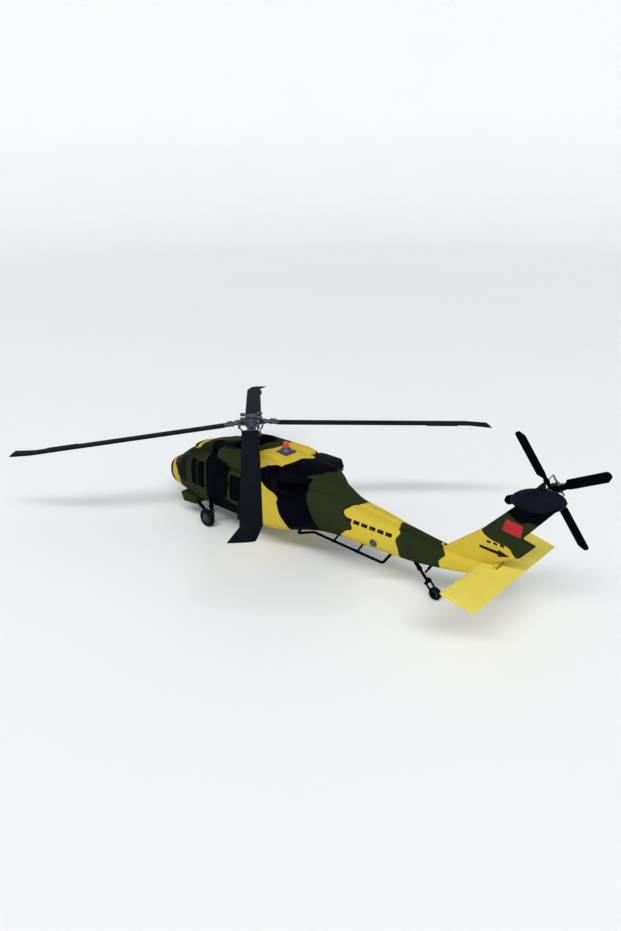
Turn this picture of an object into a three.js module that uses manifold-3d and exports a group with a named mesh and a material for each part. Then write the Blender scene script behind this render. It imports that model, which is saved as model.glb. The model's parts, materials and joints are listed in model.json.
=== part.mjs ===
// A 1:72 scale model of a four-blade utility helicopter with a canted tail rotor.
// Millimetres. +X is the nose, +Y the left side, +Z up. The ground is z = 0 and the
// rotor hub is at x = 0 while the pieces are made; the last lines move the whole model
// so that the bottom centre of its box is the origin.
import * as THREE from 'three';
import { mergeVertices } from 'three/addons/utils/BufferGeometryUtils.js';
import Module from 'manifold-3d';

const wasm = await Module();
wasm.setup();

// ---------------------------------------------------------------- driving dimensions
const GAP = 0.3; // between neighbouring pieces
const FIT = 0.12; // radial room of a pin in its bore
const WALL = 1.2; // thickness of the moulded fuselage
const BELLY = 8.7; // height of the flat underside
const SIDES = 24; // facets round the fuselage

const HUB = new THREE.Vector3(1.0, 0, 51.2);
const MAST_TILT = THREE.MathUtils.degToRad(3.5);
const MAST_RADIUS = 1.2;
const BLADE_AZIMUTH = THREE.MathUtils.degToRad(46.8);
const BLADE_RADIUS = 110.1;
const BLADE_ROOT = 11.0;
const BLADE_CHORD = 7.75;
const BLADE_NOSE = 0.42 * BLADE_CHORD; // leading edge ahead of the arm's axis
const BLADE_THICKNESS = 0.8;
const TIP_SWEEP = THREE.MathUtils.degToRad(13.5);
const TIP_FLARE = 0.15; // chord gained per millimetre of tip
const TIP_LENGTH = 9.9;
const DROOP = 0.077; // fall of a blade for each millimetre outward

const TAIL_HUB = new THREE.Vector3(-138.6, -9.0, 54.7);
const TAIL_CANT = THREE.MathUtils.degToRad(14.5);
const TAIL_TOE = THREE.MathUtils.degToRad(-6);
const TAIL_RADIUS = 23.6;
const TAIL_PHASE = THREE.MathUtils.degToRad(-29.6);
const TAIL_SHAFT_RADIUS = 0.8;
const TAIL_BEAM_OFFSET = 0.55; // the two crossed blade pairs lie this far either side of the hub
const TAIL_CHORD = 3.8;

const MAIN_WHEEL = { x: 15.4, y: 17.6, radius: 4.3, width: 2.5 };
const MAIN_LEG_Y = 15.15;
const MAIN_PIN_RADIUS = 0.75;
const TAIL_WHEEL = { x: -101.2, y: 0, radius: 2.65, width: 1.7 };
const TAIL_PIN_RADIUS = 0.45;
const STAB_HINGE = new THREE.Vector3(-124.4, 0, 24.4);
const STAB_REST = THREE.MathUtils.degToRad(-10);
const STAB_CHORD = 13.3;
const STAB_NOSE = 3.6; // leading edge ahead of the hinge
const STAB_SPAN = 60.8;
const STAB_PIN_RADIUS = 0.4;
const NOTCH_DEPTH = 2.8; // behind the hinge
const NOTCH_HALF_WIDTH = 3.4;

// Fuselage sections from nose to tail: x, bottom, top, half width, squareness.
const FUSELAGE = [
  [60.8, 13.8, 17.0, 2.0, 2.0],
  [59.6, 12.0, 18.6, 4.0, 2.2],
  [57.2, 10.1, 20.6, 6.2, 2.4],
  [54.2, 8.8, 22.2, 8.2, 2.6],
  [50.8, 8.5, 23.6, 9.8, 2.6],
  [46.8, 8.4, 26.2, 11.2, 2.7],
  [42.2, 8.4, 29.4, 12.5, 2.8],
  [37.6, 8.5, 32.0, 13.9, 3.0],
  [32.0, 8.6, 33.9, 15.2, 3.5],
  [22.0, 8.6, 35.2, 16.3, 4.0],
  [-20.0, 8.6, 35.2, 16.3, 4.0],
  [-28.0, 9.7, 35.6, 16.2, 4.0],
  [-36.0, 11.4, 36.6, 15.4, 3.4],
  [-43.0, 12.8, 36.4, 13.9, 2.7],
  [-49.0, 13.7, 34.6, 12.4, 2.4],
  [-55.0, 14.2, 32.0, 10.8, 2.4],
  [-60.0, 14.4, 30.2, 9.7, 2.5],
  [-75.0, 14.4, 28.0, 7.6, 3.0],
  [-90.0, 14.6, 25.9, 6.0, 3.0],
  [-107.0, 16.6, 24.4, 4.4, 3.0],
  [-118.0, 18.8, 24.2, 3.4, 2.8],
  [-126.5, 21.6, 26.0, 2.2, 2.4],
];
const FORWARD_COWL = [
  [38.0, 31.0, 33.2, 4.2, 2.2],
  [33.0, 31.0, 35.0, 6.6, 2.4],
  [26.0, 31.0, 37.2, 8.2, 2.8],
  [15.0, 31.0, 39.8, 8.9, 3.2],
  [4.8, 31.0, 41.8, 9.0, 3.2],
];
// The aft cowl runs on as a narrow cover for the tail drive along the top of the boom.
const AFT_COWL = [
  [-5.4, 31.0, 42.0, 9.4, 3.4],
  [-14.0, 31.0, 42.4, 9.6, 3.4],
  [-22.0, 31.0, 41.8, 9.6, 3.4],
  [-34.0, 31.0, 40.6, 9.8, 3.2],
  [-43.0, 31.0, 39.7, 10.2, 2.6],
  [-48.0, 30.5, 38.5, 8.4, 2.3],
  [-53.0, 30.0, 35.6, 5.4, 2.2],
  [-58.0, 29.0, 32.9, 2.8, 2.2],
  [-62.0, 28.0, 31.3, 1.5, 2.6],
  [-84.0, 25.4, 28.1, 1.4, 2.8],
  [-103.6, 23.2, 25.6, 1.3, 2.8],
];

// Side outlines, [x, z]. Doors and windows are cut along Y through the fuselage wall.
const COCKPIT_PANE = [[43.0, 17.4], [43.0, 22.2], [38.2, 29.2], [33.4, 30.0], [33.4, 17.4]];
const GUNNER_WINDOW = [[27.6, 18.6], [27.6, 31.2], [17.6, 31.2], [17.6, 18.6]];
const CABIN_DOOR = [[12.0, 11.8], [12.0, 31.9], [-12.8, 31.9], [-12.8, 11.8]];
const CABIN_PANE_FRONT = [[10.4, 18.4], [10.4, 30.4], [1.4, 30.4], [1.4, 18.4]];
const CABIN_PANE_REAR = [[-0.4, 18.4], [-0.4, 30.4], [-11.2, 30.4], [-11.2, 18.4]];
const WINDSHIELD = [[54.6, 22.0], [54.6, 38.0], [39.2, 38.0], [39.2, 29.6], [45.4, 20.8]];
const CHIN_WINDOW = [[56.2, 11.2], [54.8, 16.0], [48.2, 15.0], [49.2, 10.2]];
const FIN = [
  [-104.0, 22.4], [-104.0, 24.8], [-118.4, 36.8], [-131.0, 50.4], [-133.4, 51.8], [-145.2, 52.7],
  [-133.6, 37.6], [-138.7, 36.4], [-134.4, 31.1], [-127.6, 27.2], [-120.0, 22.0],
];
const FIN_HALF_THICKNESS = 1.35;
const DRAG_FAIRING = [[36.3, 11.8], [26.3, 11.2], [24.9, 8.0], [34.3, 7.2]];

// ---------------------------------------------------------------- materials
const finish = (color, roughness, metalness = 0) =>
  () => new THREE.MeshStandardMaterial({ color, roughness, metalness });
const camouflage = finish('#3d4a2b', 0.7);
const glazing = finish('#0c0e12', 0.18);
const bladePaint = finish('#22252c', 0.75);
const darkMetal = finish('#4a4d55', 0.45, 0.6);
const paleMetal = finish('#9a9ea6', 0.4, 0.8);
const blackPlastic = finish('#121419', 0.55);
const tyreRubber = finish('#17181b', 0.85);
const redLens = finish('#c41f2a', 0.35);

// ---------------------------------------------------------------- solids and helpers
function solid(geometry) {
  geometry.deleteAttribute('normal');
  geometry.deleteAttribute('uv');
  const merged = mergeVertices(geometry, 1e-5);
  return new wasm.Manifold(new wasm.Mesh({
    numProp: 3,
    vertProperties: new Float32Array(merged.attributes.position.array),
    triVerts: new Uint32Array(merged.index.array),
  }));
}

function geometryOf(body) {
  const mesh = body.getMesh();
  const geometry = new THREE.BufferGeometry();
  geometry.setAttribute('position', new THREE.BufferAttribute(mesh.vertProperties, 3));
  geometry.setIndex(new THREE.BufferAttribute(mesh.triVerts, 1));
  geometry.computeVertexNormals();
  return geometry;
}

const joined = (...bodies) => bodies.reduce((sum, body) => sum.add(body));
const cut = (body, ...tools) => tools.reduce((rest, tool) => rest.subtract(tool), body);

// A closed skin over rings that all have the same number of points.
function loft(rings) {
  const count = rings[0].length;
  const points = rings.flat();
  const first = points.length;
  const centre = (ring) => ring.reduce((sum, p) => sum.add(p), new THREE.Vector3()).divideScalar(count);
  points.push(centre(rings[0]), centre(rings.at(-1)));
  const faces = [];
  for (let k = 0; k < count; k += 1) {
    const next = (k + 1) % count;
    for (let i = 0; i < rings.length - 1; i += 1) {
      const a = i * count;
      const b = a + count;
      faces.push([a + k, b + k, b + next], [a + k, b + next, a + next]);
    }
    const last = (rings.length - 1) * count;
    faces.push([first, k, next], [first + 1, last + next, last + k]);
  }
  const volume = faces.reduce((sum, [a, b, c]) => sum + points[a].dot(points[b].clone().cross(points[c])), 0);
  const geometry = new THREE.BufferGeometry().setFromPoints(points);
  geometry.setIndex((volume > 0 ? faces : faces.map(([a, b, c]) => [a, c, b])).flat());
  return solid(geometry);
}

function box(x0, x1, y0, y1, z0, z1) {
  const geometry = new THREE.BoxGeometry(x1 - x0, y1 - y0, z1 - z0);
  return solid(geometry.translate((x0 + x1) / 2, (y0 + y1) / 2, (z0 + z1) / 2));
}

// A round bar between two points; the radius may change along it.
function rod(from, to, radius, sides = 12, endRadius = radius) {
  const start = new THREE.Vector3(...from);
  const axis = new THREE.Vector3(...to).sub(start);
  const geometry = new THREE.CylinderGeometry(endRadius, radius, axis.length(), sides);
  geometry.translate(0, axis.length() / 2, 0);
  geometry.applyQuaternion(new THREE.Quaternion().setFromUnitVectors(
    new THREE.Vector3(0, 1, 0), axis.normalize()));
  return solid(geometry.translate(start.x, start.y, start.z));
}

// An [x, z] outline carried along Y.
function sidePrism(outline, y0, y1) {
  const shape = new THREE.Shape(outline.map(([x, z]) => new THREE.Vector2(x, z)));
  const geometry = new THREE.ExtrudeGeometry(shape, { depth: y1 - y0, bevelEnabled: false });
  return solid(geometry.rotateX(Math.PI / 2).translate(0, y1, 0));
}

// An [x, y] outline carried along Z.
function planPrism(outline, z0, z1) {
  const shape = new THREE.Shape(outline.map(([x, y]) => new THREE.Vector2(x, y)));
  const geometry = new THREE.ExtrudeGeometry(shape, { depth: z1 - z0, bevelEnabled: false });
  return solid(geometry.translate(0, 0, z0));
}

// A turned solid about Y from [radius, y] points.
function turned(profile, sides) {
  return new THREE.LatheGeometry(profile.map(([r, y]) => new THREE.Vector2(r, y)), sides);
}

// Moves every edge of a convex outline inward by a distance.
function shrunk(outline, distance) {
  const turn = outline.reduce((sum, [x, z], i) => {
    const [nx, nz] = outline[(i + 1) % outline.length];
    return sum + x * nz - nx * z;
  }, 0);
  const side = Math.sign(turn) * distance;
  const edges = outline.map(([x, z], i) => {
    const [nx, nz] = outline[(i + 1) % outline.length];
    const length = Math.hypot(nx - x, nz - z);
    const dx = (nx - x) / length;
    const dz = (nz - z) / length;
    return { x: x - dz * side, z: z + dx * side, dx, dz };
  });
  return edges.map((edge, i) => {
    const before = edges.at(i - 1);
    const cross = before.dx * edge.dz - before.dz * edge.dx;
    const along = ((edge.x - before.x) * edge.dz - (edge.z - before.z) * edge.dx) / cross;
    return [before.x + before.dx * along, before.z + before.dz * along];
  });
}

// One rounded section; a positive inset makes it smaller all round.
function section([x, bottom, top, halfWidth, squareness], inset) {
  const low = bottom + inset;
  const high = top - inset;
  const wide = halfWidth - inset;
  const waist = low + 0.45 * (high - low);
  const bulge = (value) => Math.sign(value) * Math.abs(value) ** (2 / squareness);
  return Array.from({ length: SIDES }, (_, k) => {
    const angle = (2 * Math.PI * (k + 0.5)) / SIDES;
    const rise = Math.sin(angle) > 0 ? high - waist : waist - low;
    return new THREE.Vector3(x, wide * bulge(Math.cos(angle)), waist + rise * bulge(Math.sin(angle)));
  });
}

const skin = (stations, inset = 0) => loft(stations.map((row) => section(row, inset)));

function lengthened(stations, extra) {
  const rows = stations.map((row) => [...row]);
  rows[0][0] += extra;
  rows.at(-1)[0] -= extra;
  return rows;
}

// A wing section of unit chord, nose at the origin, running to -1.
function wingSection(thickness) {
  const bulge = (t) => 1.48 * Math.sqrt(t) - 0.63 * t - 1.76 * t ** 2 + 1.42 * t ** 3 - 0.5 * t ** 4;
  const half = (t) => thickness * bulge(t);
  const stops = [0.02, 0.1, 0.28, 0.55, 0.8, 1];
  const edge = 0.03;
  const upper = stops.map((t) => [-t, half(t) + edge * thickness]);
  const lower = stops.toReversed().map((t) => [-t, -half(t) - edge * thickness]);
  return [[0, 0], ...upper, ...lower];
}

function add(parent, name, shape, finishOf) {
  const geometry = shape.isBufferGeometry ? shape : geometryOf(shape);
  const mesh = new THREE.Mesh(geometry, finishOf());
  mesh.name = name;
  parent.add(mesh);
  return mesh;
}

// A point on the mast axis, measured up from the hub.
const mastPoint = (distance) =>
  [HUB.x + distance * Math.sin(MAST_TILT), 0, HUB.z + distance * Math.cos(MAST_TILT)];

const SIDE_NAMES = [['left', 1], ['right', -1]];
const mirrored = (body, side) => (side > 0 ? body : body.mirror([0, 1, 0]));

const model = new THREE.Group();

// ---------------------------------------------------------------- fuselage shell
const outerSkin = skin(FUSELAGE);
const clearSkin = skin(lengthened(FUSELAGE, GAP), -GAP);
const hollow = skin(FUSELAGE.filter(([x]) => x < 61 && x > -104), WALL);
const belowBelly = box(-160, 80, -30, 30, 0, BELLY);
const wall = cut(outerSkin, hollow, belowBelly);

function finSolid() {
  const bevel = 0.5;
  const core = FIN_HALF_THICKNESS - bevel;
  const shape = new THREE.Shape(FIN.map(([x, z]) => new THREE.Vector2(x, z)));
  const geometry = new THREE.ExtrudeGeometry(shape, {
    depth: 2 * core, bevelThickness: bevel, bevelSize: bevel, bevelOffset: -bevel, bevelSegments: 1,
  });
  return solid(geometry.rotateX(Math.PI / 2).translate(0, core, 0));
}

// Room for the rear of the stabiliser to swing behind the end of the boom.
function stabiliserRoom() {
  const reach = (radius, degrees) => {
    const angle = THREE.MathUtils.degToRad(degrees);
    return [STAB_HINGE.x + radius * Math.cos(angle), STAB_HINGE.z + radius * Math.sin(angle)];
  };
  const outer = [162, 178, 194, 210, 228].map((degrees) => reach(12, degrees));
  const inner = [242, 219, 196, 173, 150].map((degrees) => reach(NOTCH_DEPTH - GAP, degrees));
  return sidePrism([...outer, ...inner], -8, 8);
}

function sideOpenings(side) {
  const [near, far] = side > 0 ? [4, 25] : [-25, -4];
  const outlines = [COCKPIT_PANE, GUNNER_WINDOW, CABIN_DOOR, CHIN_WINDOW];
  return outlines.map((outline) => sidePrism(outline, near, far));
}

function addFuselage() {
  const roofBore = rod(mastPoint(-19), mastPoint(-12), 2.1 + GAP, 20);
  const { x, z } = STAB_HINGE;
  const pinBore = rod([x, -9, z], [x, 9, z], STAB_PIN_RADIUS + FIT, 12);
  const screen = sidePrism(WINDSHIELD, -25, 25);
  const whole = cut(joined(wall, finSolid()), screen, roofBore, pinBore, stabiliserRoom());
  for (const [name, side] of SIDE_NAMES) {
    const half = side > 0 ? box(-160, 80, 0.05, 40, 0, 80) : box(-160, 80, -40, -0.05, 0, 80);
    add(model, `fuselage_${name}`, cut(whole.intersect(half), ...sideOpenings(side)), camouflage);
  }
}

function addGlazing() {
  const inside = skin(FUSELAGE, WALL + GAP).subtract(skin(FUSELAGE, WALL + GAP + 0.7));
  const strip = [[46.0, 17.0], [46.0, 23.6], [40.2, 31.4], [-12.2, 31.4], [-12.2, 17.0]];
  add(model, 'windshield', wall.intersect(sidePrism(shrunk(WINDSHIELD, GAP), -25, 25)), glazing);
  for (const [name, side] of SIDE_NAMES) {
    const piece = (layer, outline) => mirrored(layer.intersect(sidePrism(outline, 4, 25)), side);
    add(model, `chin_window_${name}`, piece(wall, shrunk(CHIN_WINDOW, GAP)), glazing);
    add(model, `side_glazing_${name}`, piece(inside, strip), glazing);
    const door = cut(
      wall.intersect(sidePrism(shrunk(CABIN_DOOR, GAP), 4, 25)),
      sidePrism(CABIN_PANE_FRONT, 4, 25),
      sidePrism(CABIN_PANE_REAR, 4, 25),
    );
    add(model, `cabin_door_${name}`, mirrored(door, side), camouflage);
  }
}

// ---------------------------------------------------------------- roof: cowls, engines, lamp
const forwardCowl = skin(FORWARD_COWL).subtract(clearSkin);
const aftCowl = skin(AFT_COWL).subtract(clearSkin);
const clearCowls = joined(
  skin(lengthened(FORWARD_COWL, GAP), -GAP),
  skin(lengthened(AFT_COWL, GAP), -GAP),
);
const NACELLE = { y: 11.4, z: 36.6 };

function nacelle() {
  const profile = [
    [0, -27], [4.2, -27], [4.9, -22], [4.9, -2], [4.7, 4], [4.0, 8], [3.5, 8.5],
    [3.2, 8.3], [3.0, 6.2], [1.4, 6.2], [0.9, 7.5], [0, 8.0],
  ];
  const body = solid(turned(profile, 16).rotateZ(-Math.PI / 2).translate(0, NACELLE.y, NACELLE.z));
  return cut(body, clearSkin, clearCowls);
}

function exhaustBox() {
  const plan = [[-27.4, 6], [-27.4, 15.6], [-30, 16.8], [-38.5, 17.2], [-44.4, 11.8], [-44.4, 6]];
  const profile = [[-27.2, 31.0], [-27.2, 38.8], [-44.4, 38.0], [-44.4, 37.2], [-40.6, 31.0]];
  const outlet = [[-32.0, 14.2], [-32.0, 20], [-48, 20], [-48, 9.8], [-41, 12.8]];
  const body = planPrism(plan, 30, 40).intersect(sidePrism(profile, 0, 20));
  return cut(body, planPrism(outlet, 33.2, 37.0), clearSkin, clearCowls);
}

function addRoof() {
  add(model, 'forward_cowl', forwardCowl, camouflage);
  add(model, 'aft_cowl', aftCowl, camouflage);
  for (const [name, side] of SIDE_NAMES) {
    add(model, `engine_nacelle_${name}`, mirrored(nacelle(), side), camouflage);
    add(model, `exhaust_box_${name}`, mirrored(exhaustBox(), side), blackPlastic);
  }
  const lampX = -20.8;
  const deck = 41.7;
  const plate = box(lampX - 3.3, lampX + 3.3, -3.3, 3.3, deck - 0.6, deck + 0.8);
  const cone = rod([lampX, 0, deck + 0.7], [lampX, 0, deck + 2.3], 2.9, 8, 1.6);
  add(model, 'lamp_base', cut(joined(plate, cone), skin(AFT_COWL, -GAP)), darkMetal);
  add(model, 'lamp_cap', rod([lampX, 0, deck + 2.6], [lampX, 0, deck + 4.9], 1.35, 12), redLens);
}

// ---------------------------------------------------------------- inside the shell
function addInterior() {
  const deck = BELLY + 2.6;
  const floor = box(-18, 50, -11.5, 11.5, deck - 1.2, deck + 0.4);
  const bulkhead = box(29, 30, -11.5, 11.5, deck, 30);
  const seat = (y) => joined(box(33, 40, y - 3, y + 3, deck, 16), box(32, 34, y - 3, y + 3, deck, 26));
  const panel = box(46, 48.6, -9, 9, deck, 20);
  const room = skin(FUSELAGE, WALL + 1.3);
  add(model, 'cabin_floor', joined(floor, bulkhead, seat(6), seat(-6), panel).intersect(room), blackPlastic);
}

// ---------------------------------------------------------------- landing gear
// A wheel is a tyre ring on a hub that turns on its pin; local axis Y.
function addWheel(name, { x, y, radius, width }, side, pinRadius) {
  const group = new THREE.Group();
  group.position.set(x, y * side, radius);
  model.add(group);
  const half = width / 2;
  const rim = radius * 0.56;
  const tyre = [
    [rim + 0.1, -half * 0.8], [radius * 0.86, -half], [radius * 0.97, -half * 0.6],
    [radius, 0], [radius * 0.97, half * 0.6], [radius * 0.86, half], [rim + 0.1, half * 0.8],
    [rim + 0.1, -half * 0.8],
  ];
  add(group, `${name}_tyre`, turned(tyre, 24), tyreRubber);
  const bore = pinRadius + FIT;
  const hub = [
    [bore, -half * 0.9], [rim * 0.45, -half * 0.9], [rim * 0.55, -half * 0.45], [rim, -half * 0.6],
    [rim, half * 0.6], [rim * 0.55, half * 0.45], [rim * 0.45, half * 0.9], [bore, half * 0.9],
    [bore, -half * 0.9],
  ];
  add(group, `${name}_hub`, turned(hub, 20), darkMetal);
}

function addMainGear() {
  const { x, y, radius } = MAIN_WHEEL;
  const legY = MAIN_LEG_Y;
  for (const [name, side] of SIDE_NAMES) {
    const strut = joined(
      rod([x - 2.2, 16.4, 14.6], [x - 0.3, legY, 6.4], 1.05, 12),
      rod([x - 1.1, 15.7, 10.2], [x, legY, radius], 0.75, 12),
      rod([x, legY - 0.9, radius], [x, legY + 0.9, radius], 1.3, 12),
    );
    const pinBore = rod([x, legY - 2, radius], [x, y + 2, radius], MAIN_PIN_RADIUS + FIT, 12);
    add(model, `shock_strut_${name}`, mirrored(cut(strut, clearSkin, pinBore), side), blackPlastic);
    const beam = rod([28.6, 14.3, 10.2], [x + 1.7, legY, radius + 0.1], 1.0, 8, 0.7);
    add(model, `drag_beam_${name}`, mirrored(cut(beam, clearSkin, gearFairing(GAP)), side), blackPlastic);
    add(model, `gear_fairing_${name}`, mirrored(cut(gearFairing(0), clearSkin), side), camouflage);
    const pin = joined(
      rod([x, legY - 1.2, radius], [x, y + 1.45, radius], MAIN_PIN_RADIUS, 12),
      rod([x, y + 1.45, radius], [x, y + 1.85, radius], 1.2, 12),
    );
    add(model, `main_axle_${name}`, mirrored(pin, side), paleMetal);
    addWheel(`main_wheel_${name}`, MAIN_WHEEL, side, MAIN_PIN_RADIUS);
  }
}

function gearFairing(extra) {
  return sidePrism(shrunk(DRAG_FAIRING, -extra), 10 - extra, 16.7 + extra);
}

function addTailGear() {
  const { x, radius } = TAIL_WHEEL;
  const legTop = [-88.6, 0, 16];
  const crown = [x + 3.6, 0, 6.5];
  const arm = (y) => joined(
    rod([crown[0], y, crown[2]], [x, y, radius], 0.42, 8),
    rod([x, y - 0.35, radius], [x, y + 0.35, radius], 0.85, 12),
  );
  const armY = 1.45;
  const fork = joined(
    rod(legTop, crown, 0.8, 12),
    rod([crown[0] + 1.0, 0, crown[2] + 1.1], [crown[0] - 0.9, 0, crown[2] + 1.4], 0.6, 8),
    rod([crown[0], -armY - 0.3, crown[2]], [crown[0], armY + 0.3, crown[2]], 0.65, 8),
    rod([x, -armY, radius], [x, armY, radius], TAIL_PIN_RADIUS, 12),
    arm(armY),
    arm(-armY),
  );
  add(model, 'tail_gear_fork', cut(fork, clearSkin), blackPlastic);
  const brace = rod([-100.4, 0, 17.0], [-96.2, 0, 10.1], 0.45, 8);
  add(model, 'tail_gear_brace', cut(brace, clearSkin), blackPlastic);
  addWheel('tail_wheel', TAIL_WHEEL, 1, TAIL_PIN_RADIUS);
}

// ---------------------------------------------------------------- antenna rail, left side only
function addAntennaRail() {
  const bends = [
    [-36.9, 7.2, 12.6], [-36.2, 9.2, 10.4], [-45.6, 9.0, 14.0],
    [-81.8, 8.8, 12.6], [-83.4, 4.0, 16.4],
  ];
  const posts = [[[-56.6, 8.9, 13.6], [-57.2, 5.0, 16.8]], [[-69.0, 8.8, 13.1], [-69.8, 4.4, 16.8]]];
  const rail = joined(
    ...bends.slice(1).map((point, i) => rod(bends[i], point, 0.6, 8)),
    ...posts.map(([low, top]) => rod(low, top, 0.5, 8)),
  );
  add(model, 'antenna_rail', cut(rail, clearSkin), blackPlastic);
}

// ---------------------------------------------------------------- stabiliser
function addStabiliser() {
  const group = new THREE.Group();
  group.position.copy(STAB_HINGE);
  group.rotation.y = STAB_REST;
  model.add(group);
  const outline = wingSection(0.13);
  const ring = (y, scale) => outline.map(([t, h]) =>
    new THREE.Vector3(STAB_NOSE + STAB_CHORD * t, y, h * STAB_CHORD * scale));
  const half = STAB_SPAN / 2;
  const blank = loft([ring(-half, 0.6), ring(-half + 1, 1), ring(half - 1, 1), ring(half, 0.6)]);
  const notch = box(-NOTCH_DEPTH, 6, -NOTCH_HALF_WIDTH, NOTCH_HALF_WIDTH, -3, 3);
  const pinBore = rod([0, -8, 0], [0, 8, 0], STAB_PIN_RADIUS + FIT, 12);
  const bracket = box(-1.6, 0.6, 4.2, 4.9, 0.4, 1.9);
  add(group, 'stabiliser', cut(joined(blank, bracket), notch, pinBore), camouflage);
  add(group, 'stabiliser_pin', rod([0, -7.6, 0], [0, 7.6, 0], STAB_PIN_RADIUS, 12), paleMetal);
}

// ---------------------------------------------------------------- main rotor
// Local frame: origin at the hub, Z along the mast.
function addMainRotor() {
  const group = new THREE.Group();
  group.position.copy(HUB);
  group.rotation.y = MAST_TILT;
  model.add(group);
  const mast = joined(
    rod([0, 0, -17.6], [0, 0, -1.9], MAST_RADIUS, 16),
    rod([0, 0, -18.4], [0, 0, -17.4], 2.0, 16),
  );
  add(group, 'rotor_mast', mast, paleMetal);
  const bush = cut(
    joined(rod([0, 0, -16.9], [0, 0, -12], 2.1, 20), rod([0, 0, -13.6], [0, 0, -9.4], 3.4, 20)),
    rod([0, 0, -20], [0, 0, 0], MAST_RADIUS + FIT, 20),
  );
  add(group, 'mast_bearing', bush, blackPlastic);
  const plate = cut(
    rod([0, 0, -7.0], [0, 0, -5.8], 3.9, 24),
    rod([0, 0, -10], [0, 0, 0], MAST_RADIUS + FIT, 16),
  );
  add(group, 'swashplate', plate, darkMetal);
  addHub(group);
  for (let k = 0; k < 4; k += 1) {
    const arm = new THREE.Group();
    arm.rotation.z = BLADE_AZIMUTH + (k * Math.PI) / 2;
    group.add(arm);
    addBlade(arm, k + 1);
  }
}

function addHub(group) {
  const hub = new THREE.Group();
  hub.rotation.z = BLADE_AZIMUTH;
  group.add(hub);
  const lugs = [box(-4.4, 4.4, -1.5, 1.5, -1.3, 1.3), box(-1.5, 1.5, -4.4, 4.4, -1.3, 1.3)];
  add(hub, 'rotor_hub', joined(rod([0, 0, -1.8], [0, 0, 1.7], 2.7, 16), ...lugs), darkMetal);
  const reach = 4.2;
  const arms = [1, -1].map((s) => rod([-reach, -reach * s, 2.6], [reach, reach * s, 2.6], 0.5, 8));
  const weights = [0, 1, 2, 3].map((k) => {
    const angle = Math.PI / 4 + (k * Math.PI) / 2;
    const x = reach * 1.35 * Math.cos(angle);
    const y = reach * 1.35 * Math.sin(angle);
    return rod([x, y, 2.0], [x, y, 3.2], 1.15, 12);
  });
  const centre = rod([0, 0, 2.0], [0, 0, 3.6], 1.7, 16);
  add(hub, 'vibration_absorber', joined(centre, ...arms, ...weights), darkMetal);
}

// Blade k lies along local X, leading edge towards +Y.
function addBlade(arm, number) {
  const cuff = joined(
    box(4.8, 8.6, -1.4, 1.4, -1.25, 1.1),
    box(8.4, BLADE_ROOT - GAP, -2.0, 2.0, -1.3, 0.3),
    box(5.0, 6.4, 1.2, 3.6, -1.0, 0.2),
    rod([9.6, 0, 0.2], [9.6, 0, 1.1], 0.8, 10),
  );
  add(arm, `blade_cuff_${number}`, cuff, darkMetal);
  const outline = wingSection(BLADE_THICKNESS / BLADE_CHORD);
  const tipStart = BLADE_RADIUS - TIP_LENGTH;
  const ring = (r) => {
    const past = Math.max(0, r - tipStart);
    const nose = BLADE_NOSE - past * Math.tan(TIP_SWEEP);
    const chord = BLADE_CHORD + past * TIP_FLARE;
    return outline.map(([t, h]) => new THREE.Vector3(r, nose + t * chord, h * BLADE_CHORD - DROOP * r));
  };
  add(arm, `main_blade_${number}`, loft([BLADE_ROOT, tipStart, BLADE_RADIUS].map(ring)), bladePaint);
  const link = joined(
    rod([5.7, 3.0, -1.3], [3.4, 1.4, -5.5], 0.4, 8),
    rod([5.7, 3.0, -2.0], [5.7, 3.0, -1.2], 0.7, 8),
  );
  add(arm, `pitch_link_${number}`, link, paleMetal);
}

// ---------------------------------------------------------------- tail rotor
// Local frame: origin at the hub, Z outboard along the shaft (right and up), X forward.
const TAIL_TURN = new THREE.Euler(Math.PI / 2 - TAIL_CANT, 0, TAIL_TOE, 'ZYX');

function addTailRotor() {
  const group = new THREE.Group();
  group.position.copy(TAIL_HUB);
  group.rotation.copy(TAIL_TURN);
  model.add(group);
  add(group, 'tail_shaft', rod([0, 0, -7.4], [0, 0, -1.4], TAIL_SHAFT_RADIUS, 12), paleMetal);
  const spin = new THREE.Group();
  spin.rotation.z = TAIL_PHASE;
  group.add(spin);
  for (let k = 0; k < 2; k += 1) {
    const beam = new THREE.Group();
    beam.rotation.z = (k * Math.PI) / 2;
    beam.position.z = k ? -TAIL_BEAM_OFFSET : TAIL_BEAM_OFFSET;
    spin.add(beam);
    add(beam, `tail_paddle_${k + 1}`, tailPaddle(), bladePaint);
  }
  const plate = joined(rod([0, 0, 1.3], [0, 0, 3.0], 0.7, 10), box(-2.2, 2.2, -2.2, 2.2, 1.2, 1.7));
  add(spin, 'tail_hub_plate', plate, darkMetal);
  const reach = 4.2;
  const spider = joined(
    rod([-reach, 0, 3.6], [reach, 0, 3.6], 0.4, 8),
    rod([0, -reach, 3.6], [0, reach, 3.6], 0.4, 8),
    rod([0, 0, 3.2], [0, 0, 4.2], 1.0, 12),
  );
  add(spin, 'tail_pitch_beam', spider, paleMetal);
}

// One beam with a blade at each end. Rows are radius, trailing edge and leading edge; the
// blade is wider on its trailing side, and its leading corner is cut off further at the tip.
function tailPaddle() {
  const outline = wingSection(0.15);
  const rows = [
    [0, -0.9, 0.9], [5.2, -0.9, 0.9], [7.0, -2.6, 1.2],
    [TAIL_RADIUS - 2.2, -2.6, 1.2], [TAIL_RADIUS - 0.8, -2.6, 0.3], [TAIL_RADIUS, -1.9, -0.3],
  ];
  const blade = loft(rows.map(([r, back, front]) => outline.map(([t, h]) =>
    new THREE.Vector3(r, front + t * (front - back), h * TAIL_CHORD))));
  return joined(blade, blade.rotate([0, 0, 180]));
}

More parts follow.
